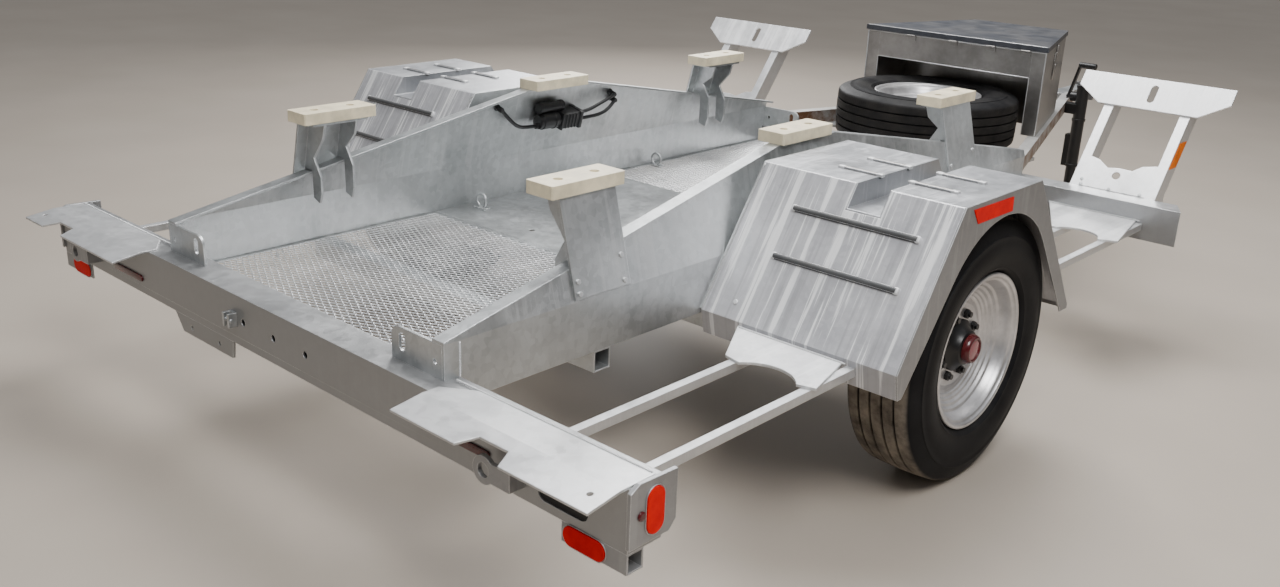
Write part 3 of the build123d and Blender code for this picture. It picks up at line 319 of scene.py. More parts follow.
def zinc(
    name,
    dark,
    light,
    rough,
    crystal=0.018,
    runs=0.35,
    run_width=0.03,
    streak=0.9,
    level=0.0,
    bump=0.25,
    metal=0.85,
    # dull: how far the painted shade darkens upright faces
    dull=0.45,
    rusty=0.0,
):
    """Hot-dip galvanised finish: crystals, clouds, runs, painted shade on upright faces, painted highlights
    on edges and any rust.
    """
    material, tree, shader = new_material(name, Metallic=metal)
    skin = tree.group(zinc_spangle, {"Crystal Size": crystal, "Cloud Size": 0.22}).outputs
    # On zinc the edge mask carries a painted highlight, not wear
    edges = tree.group(edge_wear_and_highlight, {"Radius": 0.0035, "Break Up": 0.4}).outputs
    drips = tree.group(zinc_runs, {"Width": run_width, "Level Too": level}).outputs
    dust = tree.group(workshop_dust, {"Amount": 0.12, "Patch Size": 0.3}).outputs[0]
    shade = tree.plus(tree.times(skin["Crystal"], 0.3), tree.times(skin["Cloud"], 0.7))
    colour = tree.mix(shade, dark, light)
    deep = tuple(0.7 * part for part in dark)
    # Upright faces darkened towards the deep colour by the dull share: painted shade, as they catch less
    # light than the tops
    colour = tree.mix(tree.times(drips["Upright"], dull), colour, deep)
    colour = tree.mix(tree.times(drips["Dark"], 0.6 * runs), colour, deep)
    colour = tree.mix(tree.times(drips["Light"], runs), colour, streak)
    if rusty:
        facing = tree.add("SeparateXYZ", {0: tree.add("NewGeometry").outputs["True Normal"]}).outputs[0]
        upright = tree.ramp(tree.math("ABSOLUTE", facing), [(0.5, 0.0), (0.8, 1.0)])
        place = tree.add("TexCoord").outputs["Object"]
        stain = tree.ramp(tree.noise(place, 9.0, 6.0, 0.68), [(0.36, 0.1), (0.6, 1.0)])
        colour = tree.mix(tree.times(tree.times(upright, stain), rusty), colour, rust_brown)
    # Edges lightened towards near white: painted highlight where the rounded edges catch the light
    colour = tree.mix(tree.times(edges["Edge"], 0.85), colour, edge_highlight)
    colour = tree.mix(dust, colour, zinc_dust)
    gloss = tree.rising(skin["Cloud"], 0.12, rough)
    gloss = tree.plus(gloss, tree.times(skin["Crystal"], 0.05))
    gloss = tree.plus(gloss, tree.times(drips["Light"], 0.12))
    gloss = tree.plus(gloss, tree.times(dust, 0.3), clamp=True)
    height = tree.plus(skin["Height"], tree.times(drips["Light"], 0.7 * runs))
    relief = {"Height": height, "Strength": bump, "Distance": 0.0012, "Normal": edges["Normal"]}
    put_on(tree, shader, colour, gloss, relief)
    return material


def painted(
    name, colour, worn, rough, wear=0.6, dust=0.3, metallic=0.0, coat=0.0, grain=350.0, bump=0.08, shine=0.5
):
    """Paint or moulding with rubbed edges, faint mottling and dust."""
    material, tree, shader = new_material(name, Metallic=metallic, Coat_Weight=coat, Specular_IOR_Level=shine)
    edges = tree.group(edge_wear_and_highlight, {"Radius": 0.002, "Break Up": 0.8}).outputs
    dusty = tree.group(workshop_dust, {"Amount": dust, "Patch Size": 0.12}).outputs[0]
    place = tree.add("TexCoord").outputs["Object"]
    mottle = tree.noise(place, 14.0, 5.0, 0.6)
    darker = tuple(0.72 * part for part in colour)
    base = tree.mix(tree.ramp(mottle, [(0.35, 0.0), (0.65, 1.0)]), darker, colour)
    base = tree.mix(tree.times(edges["Edge"], wear), base, worn)
    base = tree.mix(dusty, base, paint_dust)
    gloss = tree.rising(mottle, 0.16, rough - 0.08)
    gloss = tree.plus(gloss, tree.times(dusty, 0.5), clamp=True)
    fine = tree.noise(place, grain, 2.0)
    relief = {"Height": fine, "Strength": bump, "Distance": 0.001, "Normal": edges["Normal"]}
    put_on(tree, shader, base, gloss, relief)
    return material


def tyre_rubber(name, centre, lie, tread_dust):
    """Black rubber: dusty tread with fine cuts across the ribs, darker walls."""
    material, tree, shader = new_material(name, Specular_IOR_Level=0.1)
    wheel = tree.group(round_the_wheel, {"Centre": centre, "Lie": lie, "Bands": 190.0}).outputs
    place = tree.add("TexCoord").outputs["Object"]
    tread = tree.ramp(wheel["Radius"], [(0.388, 0.0), (0.394, 1.0)])
    patches = tree.ramp(tree.noise(place, 16.0, 5.0, 0.65), [(0.32, 0.25), (0.68, 1.0)])
    dusty = tree.times(tree.times(tread, patches), tread_dust)
    wall = tree.ramp(tree.noise(place, 9.0, 4.0, 0.6), wall_shades)
    lying = tree.group(workshop_dust, {"Amount": 0.12, "Patch Size": 0.1}).outputs[0]
    colour = tree.mix(lying, tree.mix(dusty, wall, tread_earth), wall_dust)
    gloss = tree.rising(dusty, 0.3, 0.5)
    cuts = tree.times(tree.ramp(wheel["Band"], [(0.08, 0.0), (0.16, 1.0)]), tread)
    height = tree.plus(tree.times(cuts, 0.8), tree.noise(place, 300.0, 2.0))
    put_on(tree, shader, colour, gloss, {"Height": height, "Strength": 0.35, "Distance": 0.0012})
    return material


def middle(node):
    low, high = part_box(node)
    return (Vector(low) + Vector(high)) / 2


right_wheel = middle("tyre_right")
left_wheel = middle("tyre_left")
spare_wheel = middle("spare_tyre")
x_lie = (0.0, math.radians(90), 0.0)
flat_lie = (0.0, 0.0, 0.0)

plain_zinc = zinc(
    "dipped zinc",
    (0.37, 0.385, 0.39),
    (0.68, 0.7, 0.705),
    0.28,
    runs=0.25,
    run_width=0.06,
    streak=0.8,
    dull=0.12,
)
slope_zinc = zinc(
    "dipped zinc with runs",
    (0.46, 0.46, 0.485),
    (0.66, 0.66, 0.68),
    0.36,
    crystal=0.014,
    runs=0.95,
    run_width=0.036,
    streak=0.97,
    level=0.3,
    metal=0.5,
    dull=0.6,
)
skirt_zinc = zinc(
    "dull dipped zinc", (0.3, 0.305, 0.315), (0.5, 0.5, 0.505), 0.36, runs=0.3, run_width=0.08, metal=0.8
)
beam_zinc = zinc(
    "beam zinc", (0.38, 0.385, 0.39), (0.6, 0.605, 0.61), 0.33, runs=0.08, run_width=0.1, dull=0.7
)
tongue_zinc = zinc("rusty zinc", (0.5, 0.49, 0.47), (0.74, 0.73, 0.71), 0.36, runs=0.2, metal=0.7, rusty=1.0)
step_zinc = zinc("smooth zinc", (0.58, 0.585, 0.59), (0.8, 0.805, 0.81), 0.3, runs=0.25, bump=0.12, metal=0.7)
bright_zinc = zinc(
    "fresh zinc",
    (0.64, 0.645, 0.65),
    (0.88, 0.885, 0.89),
    0.34,
    runs=0.5,
    run_width=0.05,
    streak=0.98,
    level=0.7,
    bump=0.12,
    metal=0.5,
)
guard_zinc = zinc("fresh tube zinc", (0.72, 0.72, 0.72), (0.95, 0.955, 0.96), 0.3, runs=0.15, bump=0.12)
top_zinc = zinc(
    "flat sheet zinc",
    (0.4, 0.41, 0.43),
    (0.62, 0.63, 0.65),
    0.3,
    runs=0.3,
    run_width=0.07,
    level=0.5,
    metal=0.8,
)
mesh_zinc = zinc(
    "mesh zinc", (0.66, 0.67, 0.69), (0.95, 0.955, 0.96), 0.24, crystal=0.012, runs=0.0, metal=0.8
)
cream = painted("cream slide plastic", (0.9, 0.79, 0.56), (0.95, 0.9, 0.76), 0.5, wear=0.4, dust=0.1)
black_paint = painted("satin black", near_black, (0.08, 0.08, 0.085), 0.35, wear=0.4, dust=0.08)
black_plastic = painted("black moulding", near_black, (0.03, 0.03, 0.035), 0.38, wear=0.3, dust=0.06)
right_rubber = tyre_rubber("right tyre rubber", right_wheel, x_lie, 0.75)
left_rubber = tyre_rubber("left tyre rubber", left_wheel, x_lie, 0.75)
spare_rubber = tyre_rubber("spare tyre rubber", spare_wheel, flat_lie, 0.05)
wheel_silver = painted(
    "wheel silver", (0.66, 0.65, 0.655), (0.95, 0.95, 0.95), 0.32, dust=0.12, metallic=0.75, grain=500.0
)
sheet_metal = painted(
    "dull sheet metal", (0.34, 0.325, 0.31), (0.85, 0.85, 0.85), 0.32, dust=0.2, metallic=0.85
)
lid_paint = painted("dark lid", (0.05, 0.054, 0.066), (0.3, 0.3, 0.3), 0.42, dust=0.2, metallic=0.2)
red_lens = painted("red lens", (0.85, 0.0, 0.0), (0.95, 0.0, 0.0), 0.5, wear=0.1, dust=0.0, shine=0.1)
# Dark red: the hub caps' own ring colour, and on markers and strip lamps a red lens darkened to painted shade
dark_red_and_shade = painted(
    "dark red ring and shaded lens", (0.09, 0.003, 0.006), (0.2, 0.01, 0.015), 0.25, wear=0.2, dust=0.0, coat=0.3
)
pink_lens = painted("clear cap", (0.3, 0.06, 0.08), (0.5, 0.2, 0.22), 0.2, wear=0.2, dust=0.0, coat=0.4)
amber_lens = painted("amber lens", (0.95, 0.2, 0.0), (1.0, 0.3, 0.0), 0.5, wear=0.1, dust=0.0, shine=0.1)
forged = painted("forged steel", (0.2, 0.2, 0.205), (0.5, 0.5, 0.5), 0.45, metallic=0.8, bump=0.3)
# Near-black slope grip bars: partly their own dark tone, partly painted shade of their shadowed lower faces
dark_and_shaded_grip_bar = painted(
    "worn dark grip bar with painted shade", (0.1, 0.102, 0.105), (0.3, 0.3, 0.3), 0.6, wear=0.5, dust=0.15, metallic=0.4
)
gasket = painted("rubber gasket", (0.015, 0.015, 0.016), (0.04, 0.04, 0.04), 0.6, wear=0.2, dust=0.1)

# Nodes that aren't named here are in plain zinc
finishes = (
    (slope_zinc, ["fender_slopes"]),
    (top_zinc, ["fender_tops"]),
    (skirt_zinc, ["fender_skirts", "eye_lugs", "tail_brackets", "end_plates"]),
    (tongue_zinc, ["tongue_rails"]),
    (beam_zinc, ["rear_beam", "front_beam", "rear_hanger"]),
    (step_zinc, ["step_plates", "brace_bars"]),
    (bright_zinc, ["rear_gussets", "front_gussets", "guard_plates"]),
    (guard_zinc, ["light_guards"]),
    (mesh_zinc, ["floor_meshes"]),
    (cream, ["pads"]),
    (forged, ["coupler"]),
    (black_paint, ["jack_tube", "jack_leg", "jack_crank", "spindles", "hub_right", "hub_left"]),
    (wheel_silver, ["rim_right", "rim_left", "spare_rim"]),
    (right_rubber, ["tyre_right"]),
    (left_rubber, ["tyre_left"]),
    (spare_rubber, ["spare_tyre"]),
    (sheet_metal, ["toolbox_floor", "toolbox_sides", "toolbox_front", "toolbox_rear", "toolbox_fittings"]),
    (lid_paint, ["toolbox_lid"]),
    (black_plastic, ["actuator", "hoses"]),
    (red_lens, ["red_lamps"]),
    (amber_lens, ["amber_reflectors"]),
)
finish_of = {name: finish for finish, names in finishes for name in names}
for name, node in nodes.items():
    node.data.materials.clear()
    node.data.materials.append(finish_of.get(name, plain_zinc))


# Shaping


def deselect():
    if bpy.context.object and bpy.context.object.mode == "EDIT":
        bpy.ops.object.mode_set(mode="OBJECT")
    bpy.ops.object.select_all(action="DESELECT")


def only(piece):
    deselect()
    piece.select_set(True)
    bpy.context.view_layer.objects.active = piece


def settle(piece):
    """Puts an object's place, turn and size into its mesh."""
    only(piece)
    bpy.ops.object.transform_apply(location=True, rotation=True, scale=True)


def in_edit():
    bpy.ops.object.mode_set(mode="EDIT")


def out_of_edit():
    bpy.ops.object.mode_set(mode="OBJECT")
    return bpy.context.active_object


def pick_all():
    bpy.ops.mesh.select_all(action="SELECT")


def pick_faces(test):
    """In edit mode, selects the faces whose normal and middle pass the test."""
    bpy.ops.mesh.select_mode(type="FACE")
    bpy.ops.mesh.select_all(action="DESELECT")
    mesh = bmesh.from_edit_mesh(bpy.context.active_object.data)
    for face in mesh.faces:
        face.select_set(test(face.normal, face.calc_center_median()))
    bmesh.update_edit_mesh(bpy.context.active_object.data)


def pick_points(test):
    """In edit mode, selects the vertices whose place passes the test."""
    bpy.ops.mesh.select_mode(type="VERT")
    bpy.ops.mesh.select_all(action="DESELECT")
    mesh = bmesh.from_edit_mesh(bpy.context.active_object.data)
    for point in mesh.verts:
        point.select_set(test(point.co))
    bmesh.update_edit_mesh(bpy.context.active_object.data)


def place_piece(piece, name, finish, body="chassis", smooth=35, stands_for=()):
    """Puts a shaped piece's place in its mesh, gives it its finish and its body."""
    settle(piece)
    bpy.ops.object.shade_smooth_by_angle(angle=math.radians(smooth))
    piece.name = name
    piece.data.name = name
    piece.data.materials.clear()
    piece.data.materials.append(finish)
    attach(piece, body)
    if stands_for:
        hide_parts(*stands_for)
    return piece


def turned(points, centre, outward, steps=96, closed=True):
    """A vertex extruded along (outward, radius) points in millimetres, then spun round the centre."""
    up = Vector((0, 1, 0)) if abs(outward.z) > 0.5 else Vector((0, 0, 1))
    line = [centre + outward * (along / 1000) + up * (radius / 1000) for along, radius in points]
    if closed:
        line.append(line[0])
    deselect()
    bpy.ops.mesh.primitive_plane_add(size=0.01, location=line[0])
    in_edit()
    bpy.ops.mesh.select_mode(type="VERT")
    pick_all()
    bpy.ops.mesh.merge(type="CENTER")
    for start, end in zip(line, line[1:]):
        bpy.ops.mesh.extrude_region_move(TRANSFORM_OT_translate={"value": end - start})
    pick_all()
    bpy.ops.mesh.spin(steps=steps, angle=math.tau, center=centre, axis=outward)
    pick_all()
    bpy.ops.mesh.remove_doubles(threshold=0.00004)
    bpy.ops.mesh.normals_make_consistent(inside=False)
    return out_of_edit()


def eased_box(size, centre, ease, turn=(0, 0, 0)):
    """Box with eased edges. Sizes in millimetres, centre as a point."""
    sides = [side / 1000 for side in size]
    deselect()
    bpy.ops.mesh.primitive_cube_add(size=1, location=centre, rotation=turn, scale=sides)
    bpy.ops.object.transform_apply(location=False, rotation=False, scale=True)
    in_edit()
    pick_all()
    bpy.ops.mesh.bevel(offset=ease / 1000, segments=2, affect="EDGES")
    return out_of_edit()


def joined(parts):
    deselect()
    for part in parts:
        part.select_set(True)
    bpy.context.view_layer.objects.active = parts[0]
    bpy.ops.object.join()
    return bpy.context.active_object


def copies(model, places):
    """Copies of a model that stands on the origin, each with its own mesh, set at (point, outward) places."""
    made = []
    for point, outward in places:
        copy = model.copy()
        copy.data = model.data.copy()
        bpy.context.collection.objects.link(copy)
        copy.rotation_euler = Vector(outward).to_track_quat("Z", "Y").to_euler()
        copy.location = point
        settle(copy)
        made.append(copy)
    bpy.data.objects.remove(model)
    return joined(made)


def repeat(piece, count, offset):
    """Makes a row of one shape, each a fixed step from the last."""
    row = piece.modifiers.new("row", "ARRAY")
    row.count = count
    row.use_relative_offset = False
    row.use_constant_offset = True
    row.constant_offset_displace = offset
    only(piece)
    bpy.ops.object.modifier_apply(modifier="row")


def hex_head(radius, height, washer_radius, washer=2.5, stud=0.0, stud_radius=0.0):
    """Hex head on its washer, upright on the origin, with the stud's end through it if it is a nut."""
    deselect()
    bpy.ops.mesh.primitive_cylinder_add(
        vertices=6, radius=radius / 1000, depth=height / 1000, location=(0, 0, (washer + height / 2) / 1000)
    )
    in_edit()
    pick_faces(lambda normal, point: normal.z > 0.9)
    bpy.ops.mesh.inset(thickness=0.12 * radius / 1000)
    bpy.ops.transform.translate(value=(0, 0, 0.1 * radius / 1000))
    bpy.ops.mesh.select_all(action="DESELECT")
    bpy.ops.mesh.primitive_cylinder_add(
        vertices=20, radius=washer_radius / 1000, depth=washer / 1000, location=(0, 0, washer / 2000)
    )
    if stud:
        stud_middle = (washer + height + stud / 2) / 1000
        bpy.ops.mesh.select_all(action="DESELECT")
        bpy.ops.mesh.primitive_cylinder_add(
            vertices=14, radius=stud_radius / 1000, depth=stud / 1000, location=(0, 0, stud_middle)
        )
        pick_faces(lambda normal, point: normal.z > 0.9 and point.z > stud_middle)
        bpy.ops.mesh.inset(thickness=0.25 * stud_radius / 1000)
        bpy.ops.transform.translate(value=(0, 0, 0.2 * stud_radius / 1000))
    return out_of_edit()


# Wheels. Outlines are (outward, radius), and the tyre's runs from the middle of its tread to its bead
tyre_half = (
    (0, 398),
    (14.5, 398),
    (16, 388.5),
    (21, 388.5),
    (22.5, 397.6),
    (51.5, 396.6),
    (53, 387.5),
    (58, 387.5),
    (59.5, 396.2),
    (84, 394.5),
    (91, 392),
    (96.5, 386),
    (100.5, 377),
    (105, 364),
    (109.5, 350),
    (110.5, 346.5),
    (113, 345),
    (113.5, 340),
    (112.8, 336),
    (114.8, 325),
    (116.3, 312),
    (116, 298),
    (113.5, 283),
    (109.5, 268),
    (106, 257),
    (106, 253),
    (103, 249),
    (97, 243.5),
    (91, 239),
    (86, 236),
    (85.8, 216),
)
rim_outline = (
    (20, 45),
    (20, 126),
    (17, 132),
    (16, 142),
    (19, 150),
    (23, 153),
    (25, 160),
    (30, 164),
    (32, 171),
    (39, 176),
    (41, 184),
    (49, 189),
    (52, 197),
    (60, 202),
    (72, 206),
    (82, 209),
    (86, 212),
    (88, 217),
    (91, 220),
    (95, 222),
    (97.5, 226),
    (98, 231),
    (96.5, 234.5),
    (93, 235),
    (88, 235),
    (86, 233),
    (86, 216),
    (84, 215),
    (-84, 215),
    (-86, 216),
    (-86, 233),
    (-88, 235),
    (-96, 235),
    (-98, 233),
    (-98, 227),
    (-92, 221),
    (-87, 209),
    (-12, 209),
    (2, 196),
    (8, 170),
    (8, 45),
)
hub_outline = (
    (42, 0),
    (42, 25.2),
    (-52, 25.2),
    (-52, 62),
    (-4, 62),
    (-4, 138),
    (-78, 138),
    (-78, 147),
    (-75, 150),
    (-62, 150),
    (-60, 147),
    (-52, 147),
    (-50, 150),
    (4, 150),
    (7.7, 146),
    (7.7, 44.5),
    (20.3, 44.5),
    (20.3, 76),
    (22, 78),
    (29, 78),
    (32, 74),
    (36, 66),
    (46, 58),
    (53, 54),
    (57, 52),
    (60, 47),
    (60, 0),
)
cap_outline = ((59, 30), (59, 43), (62, 45), (72, 44), (79, 41), (82, 37), (82, 33), (79.5, 31))
cap_glass = ((64, 0), (64, 31), (78, 31), (80, 26), (80.5, 0))
clamp_outline = ((20, 31), (20, 74), (26, 74), (29, 68), (29, 31))
clamp_nut_outline = ((29, 31), (29, 46), (31, 48), (47, 48), (49, 45), (49, 31))
stud_circle = 95
stud_count = 8
disc_face = 20


def build_tyre(name, centre, outward, finish, body, node):
    other_half = [(-along, radius) for along, radius in tyre_half[1:]]
    tyre = turned(list(reversed(tyre_half)) + other_half, centre, outward, steps=120)
    place_piece(tyre, name, finish, body, smooth=28, stands_for=[node])


def wheel_nuts(centre, outward):
    places = []
    for turn in range(stud_count):
        angle = math.tau * (turn + 0.5) / stud_count
        spot = Vector((0, math.cos(angle), math.sin(angle))) * (stud_circle / 1000)
        places.append((centre + spot + outward * (disc_face / 1000), outward))
    return copies(hex_head(15, 19, 18, 3, stud=10, stud_radius=8.5), places)


def build_wheels():
    for side, centre, rubber, outward in (
        ("right", right_wheel, right_rubber, Vector((1, 0, 0))),
        ("left", left_wheel, left_rubber, Vector((-1, 0, 0))),
    ):
        body = "wheel_" + side
        build_tyre("ribbed_tyre_" + side, centre, outward, rubber, body, "tyre_" + side)
        rim = turned(rim_outline, centre, outward)
        place_piece(rim, "steel_rim_" + side, wheel_silver, body, smooth=24, stands_for=["rim_" + side])
        hub = turned(hub_outline, centre, outward, steps=64, closed=False)
        hub = joined([hub, wheel_nuts(centre, outward)])
        place_piece(hub, "hub_and_nuts_" + side, black_paint, body, smooth=32, stands_for=["hub_" + side])
        cap = turned(cap_outline, centre, outward, steps=48)
        place_piece(cap, "hub_cap_ring_" + side, dark_red_and_shade, body)
        glass = turned(cap_glass, centre, outward, steps=40, closed=False)
        place_piece(glass, "hub_cap_window_" + side, pink_lens, body)
    upwards = Vector((0, 0, 1))
    build_tyre("ribbed_tyre_spare", spare_wheel, upwards, spare_rubber, "chassis", "spare_tyre")
    rim = turned(rim_outline, spare_wheel, upwards)
    place_piece(rim, "steel_rim_spare", wheel_silver, smooth=24, stands_for=["spare_rim"])
    clamp = turned(clamp_outline, spare_wheel, upwards, steps=48)
    nut = turned(clamp_nut_outline, spare_wheel, upwards, steps=6)
    place_piece(joined([clamp, nut]), "spare_clamp", plain_zinc, smooth=25)


# Open mesh floors: diamonds of leaning strands in a flat border, in millimetres
diamond_long = 42
diamond_short = 20
strand_width = 3.6
strand_depth = 2.2
strand_lean = math.radians(38)
strand_lap = 2.5
strand_height = 488.3
floor_runs = (("rear", -1376, -435), ("front", 415, 1476))
floor_half_width = 640
border_width = 18
border_side_width = 16
border_thick = 4
border_height = 488.4


def strand(x, y, turn):
    """One side of a diamond: a thin bar turned about Z, its face leaning towards the rear."""
    length = math.hypot(diamond_long / 2, diamond_short / 2) + strand_lap
    bpy.ops.mesh.primitive_cube_add(
        size=1,
        location=(x / 1000, y / 1000, 0),
        rotation=(strand_lean, 0, turn),
        scale=(length / 1000, strand_width / 1000, strand_depth / 1000),
    )
    return bpy.context.active_object


def build_floor_mesh(name, y0, y1):
    columns = int(2 * floor_half_width / diamond_long)
    rows = int((y1 - y0) / diamond_short)
    turn = math.atan2(diamond_short, diamond_long)
    deselect()
    sides = []
    for across, along, way in ((-1, 1, turn), (1, 1, -turn), (-1, -1, -turn), (1, -1, turn)):
        sides.append(strand(across * diamond_long / 4, along * diamond_short / 4, way))
    mesh = joined(sides)
    settle(mesh)
    repeat(mesh, columns, (diamond_long / 1000, 0, 0))
    repeat(mesh, rows, (0, diamond_short / 1000, 0))
    x = -(columns - 1) * diamond_long / 2
    y = (y0 + y1 - (rows - 1) * diamond_short) / 2
    mesh.location = at(x, y, strand_height)
    return place_piece(mesh, name, mesh_zinc, smooth=20)


def build_floor():
    border = []
    for label, y0, y1 in floor_runs:
        mesh = build_floor_mesh(label + "_floor_mesh", y0, y1)
        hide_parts("floor_meshes")
        end_size = (2 * floor_half_width - 1, border_width, border_thick)
        for y in (y0 + border_width / 2, y1 - border_width / 2):
            border.append(eased_box(end_size, at(0, y, border_height), 1))
        side_size = (border_side_width, y1 - y0 - 2 * border_width, border_thick)
        for side in (-1, 1):
            x = side * (floor_half_width - 1 - border_side_width / 2)
            border.append(eased_box(side_size, at(x, (y0 + y1) / 2, border_height), 1))
    place_piece(joined(border), "floor_mesh_borders", plain_zinc)


# Bolts and welds. Each seam is given on the right, from end to end
pad_x = 545
pad_rows = (-905, 48, 988)
pad_bolt_reach = 65
pad_bolt_seat = 923
bracket_rows = (-905, 988)
bracket_bolts = ((-84, 691), (-84, 660), (80, 726), (80, 661))
crease_height = 640
web_face = 648
web_lean = math.radians(14.7)
rail_wall = 8
guard_x = 981
guard_foot_y = 1576
guard_foot_z = 550
guard_slope = 0.77
guard_bolts = ((-125, 9), (-13, 8), (106, 10), (-129, 30))
coupler_face = 3576
coupler_height = 580
floor_bolt_x = 600
floor_bolt_rows = (-1300, -1100, -700, -500, 500, 900, 1200, 1400)
floor_underside = 476
seams = (
    ((1145, -512, 487), (792, -512, 487)),
    ((648, -1374, 551), (648, -1374, 640)),
    ((670, -1401, 556), (1280, -1401, 556)),
    ((655, -250, 880), (655, 190, 880)),
    ((655, -502, 502), (655, -250, 884)),
    ((632, 1497, 551), (632, 1497, 610)),
    ((582, 1497, 551), (582, 1497, 610)),
    ((1140, 1474, 488), (780, 1474, 488)),
    ((guard_x - 130, 1578, 551), (guard_x + 130, 1578, 551)),
    ((1283, -1402, 552), (1283, -1466, 552)),
)
bead_width = 7.0
bead_squeeze = 0.55


def bracket_face(side, y, z):
    """Point on a pad bracket's outer plate, and the way it faces."""
    out = Vector((side * math.cos(web_lean), 0, math.sin(web_lean)))
    x = web_face - (z - crease_height) * math.tan(web_lean) + rail_wall / math.cos(web_lean)
    return at(side * x, y, z), out


def build_fasteners():
    in_pads = []
    on_brackets = []
    on_guards = []
    steep = math.hypot(1, guard_slope)
    away = Vector((0, -1 / steep, guard_slope / steep))
    for side in (-1, 1):
        for y in pad_rows:
            for way in (-1, 1):
                in_pads.append((at(side * pad_x, y + way * pad_bolt_reach, pad_bolt_seat), (0, 0, 1)))
        for row in bracket_rows:
            on_brackets += [bracket_face(side, row + y, z) for y, z in bracket_bolts]
        for across, up in guard_bolts:
            y = guard_foot_y + up * guard_slope / steep
            on_guards.append((at(side * guard_x + across, y, guard_foot_z + up / steep), away))
    place_piece(copies(hex_head(8.5, 6, 11), in_pads), "pad_bolts", plain_zinc, smooth=25)
    place_piece(copies(hex_head(8, 6, 10.5), on_brackets), "bracket_bolts", step_zinc, smooth=25)
    place_piece(copies(hex_head(7, 5, 9.5), on_guards), "guard_bolts", plain_zinc, smooth=25)
    corners = [at(x, coupler_face, coupler_height + z) for x in (-45, 45) for z in (-30, 30)]
    on_coupler = [(corner, (0, 1, 0)) for corner in corners]
    place_piece(copies(hex_head(9, 8, 12), on_coupler), "coupler_bolts", forged, smooth=25)
    spots = [at(x, y, floor_underside) for x in (-floor_bolt_x, floor_bolt_x) for y in floor_bolt_rows]
    under_floor = [(spot, (0, 0, -1)) for spot in spots]
    place_piece(copies(hex_head(6, 4, 8), under_floor), "floor_bolts", plain_zinc, smooth=25)


def weld_bead(start, end):
    """Row of overlapping drops along a seam, made by an array of one flattened ball."""
    run = end - start
    pitch = bead_squeeze * bead_width / 1000
    deselect()
    bpy.ops.mesh.primitive_ico_sphere_add(subdivisions=1, radius=bead_width / 2000, location=(0, 0, 0))
    bead = bpy.context.active_object
    in_edit()
    pick_all()
    bpy.ops.transform.resize(value=(bead_squeeze, 1.0, 1.0))
    out_of_edit()
    repeat(bead, max(2, int(run.length / pitch)), (pitch, 0, 0))
    bead.rotation_euler = run.to_track_quat("X", "Z").to_euler()
    bead.location = start
    settle(bead)
    return bead


def build_welds():
    beads = []
    for side in (-1, 1):
        for (x0, y0, z0), (x1, y1, z1) in seams:
            beads.append(weld_bead(at(side * x0, y0, z0), at(side * x1, y1, z1)))
    place_piece(joined(beads), "weld_beads", step_zinc, smooth=60)


# Grip bars on the fenders
fender_top = 889
slope_foot = (-504, 498)
slope_head = (-245, fender_top)
slope_bar_heights = (794, 672)
slope_bar_ends = (811, 1202)
slope_bar_radius = 10
top_bar_rows = (-132, 18)
top_bar_ends = ((842, 967), (1070, 1200))
top_bar_radius = 8.5


def grip_bar(start, end, lift, radius):
    """Round bar half sunk in a face."""
    run = end - start
    deselect()
    bpy.ops.mesh.primitive_cylinder_add(vertices=14, radius=radius / 1000, depth=run.length)
    in_edit()
    pick_faces(lambda normal, point: abs(normal.z) > 0.9)
    bpy.ops.mesh.inset(thickness=0.35 * radius / 1000)
    bar = out_of_edit()
    bar.rotation_euler = run.to_track_quat("Z", "Y").to_euler()
    bar.location = (start + end) / 2 + lift
    settle(bar)
    return bar


def build_grip_bars():
    pitch = (slope_head[1] - slope_foot[1]) / (slope_head[0] - slope_foot[0])
    out = Vector((0, -pitch, 1)).normalized()
    lean = (math.atan(pitch), 0, 0)
    sunk = Vector((0, 0, -0.001))
    slope_bars = []
    top_bars = []
    ends = []
    bolts = []
    for side in (-1, 1):
        for z in slope_bar_heights:
            y = slope_head[0] - (slope_head[1] - z) / pitch
            inner, outer = [at(side * x, y, z) for x in slope_bar_ends]
            slope_bars.append(grip_bar(inner, outer, out * 0.0015, slope_bar_radius))
            for end in (inner, outer):
                ends.append(eased_box((15, 20, 12), end + out * 0.003, 4, lean))
        for y in top_bar_rows:
            for low, high in top_bar_ends:
                inner, outer = at(side * low, y, fender_top), at(side * high, y, fender_top)
                top_bars.append(grip_bar(inner, outer, sunk, top_bar_radius))
                for x in (low, high):
                    ends.append(eased_box((22, 19, 10), at(side * x, y, fender_top + 2.5), 3))
        bolts.append((at(side * 753, -476, 540.2), out))
    # The slope bars' near-black is partly painted shade
    place_piece(joined(slope_bars), "slope_grip_bars", dark_and_shaded_grip_bar, smooth=40)
    place_piece(joined(top_bars), "top_grip_bars", sheet_metal, smooth=40)
    place_piece(joined(ends), "grip_bar_ends", bright_zinc, smooth=40)
    place_piece(copies(hex_head(8, 5, 11), bolts), "slope_bolts", bright_zinc, smooth=25)


# Lamps. The strip lamps' places are (side, x, z)
rear_face = -1476
slot_face = -1470.5
end_face = 1295
side_lamp_height = 485
marker_outline = ((0, 0), (0, 10.5), (3, 10.5), (5.2, 8), (6, 0))
strip_lamps = ((-1, -825, 450), (1, 780, 465))


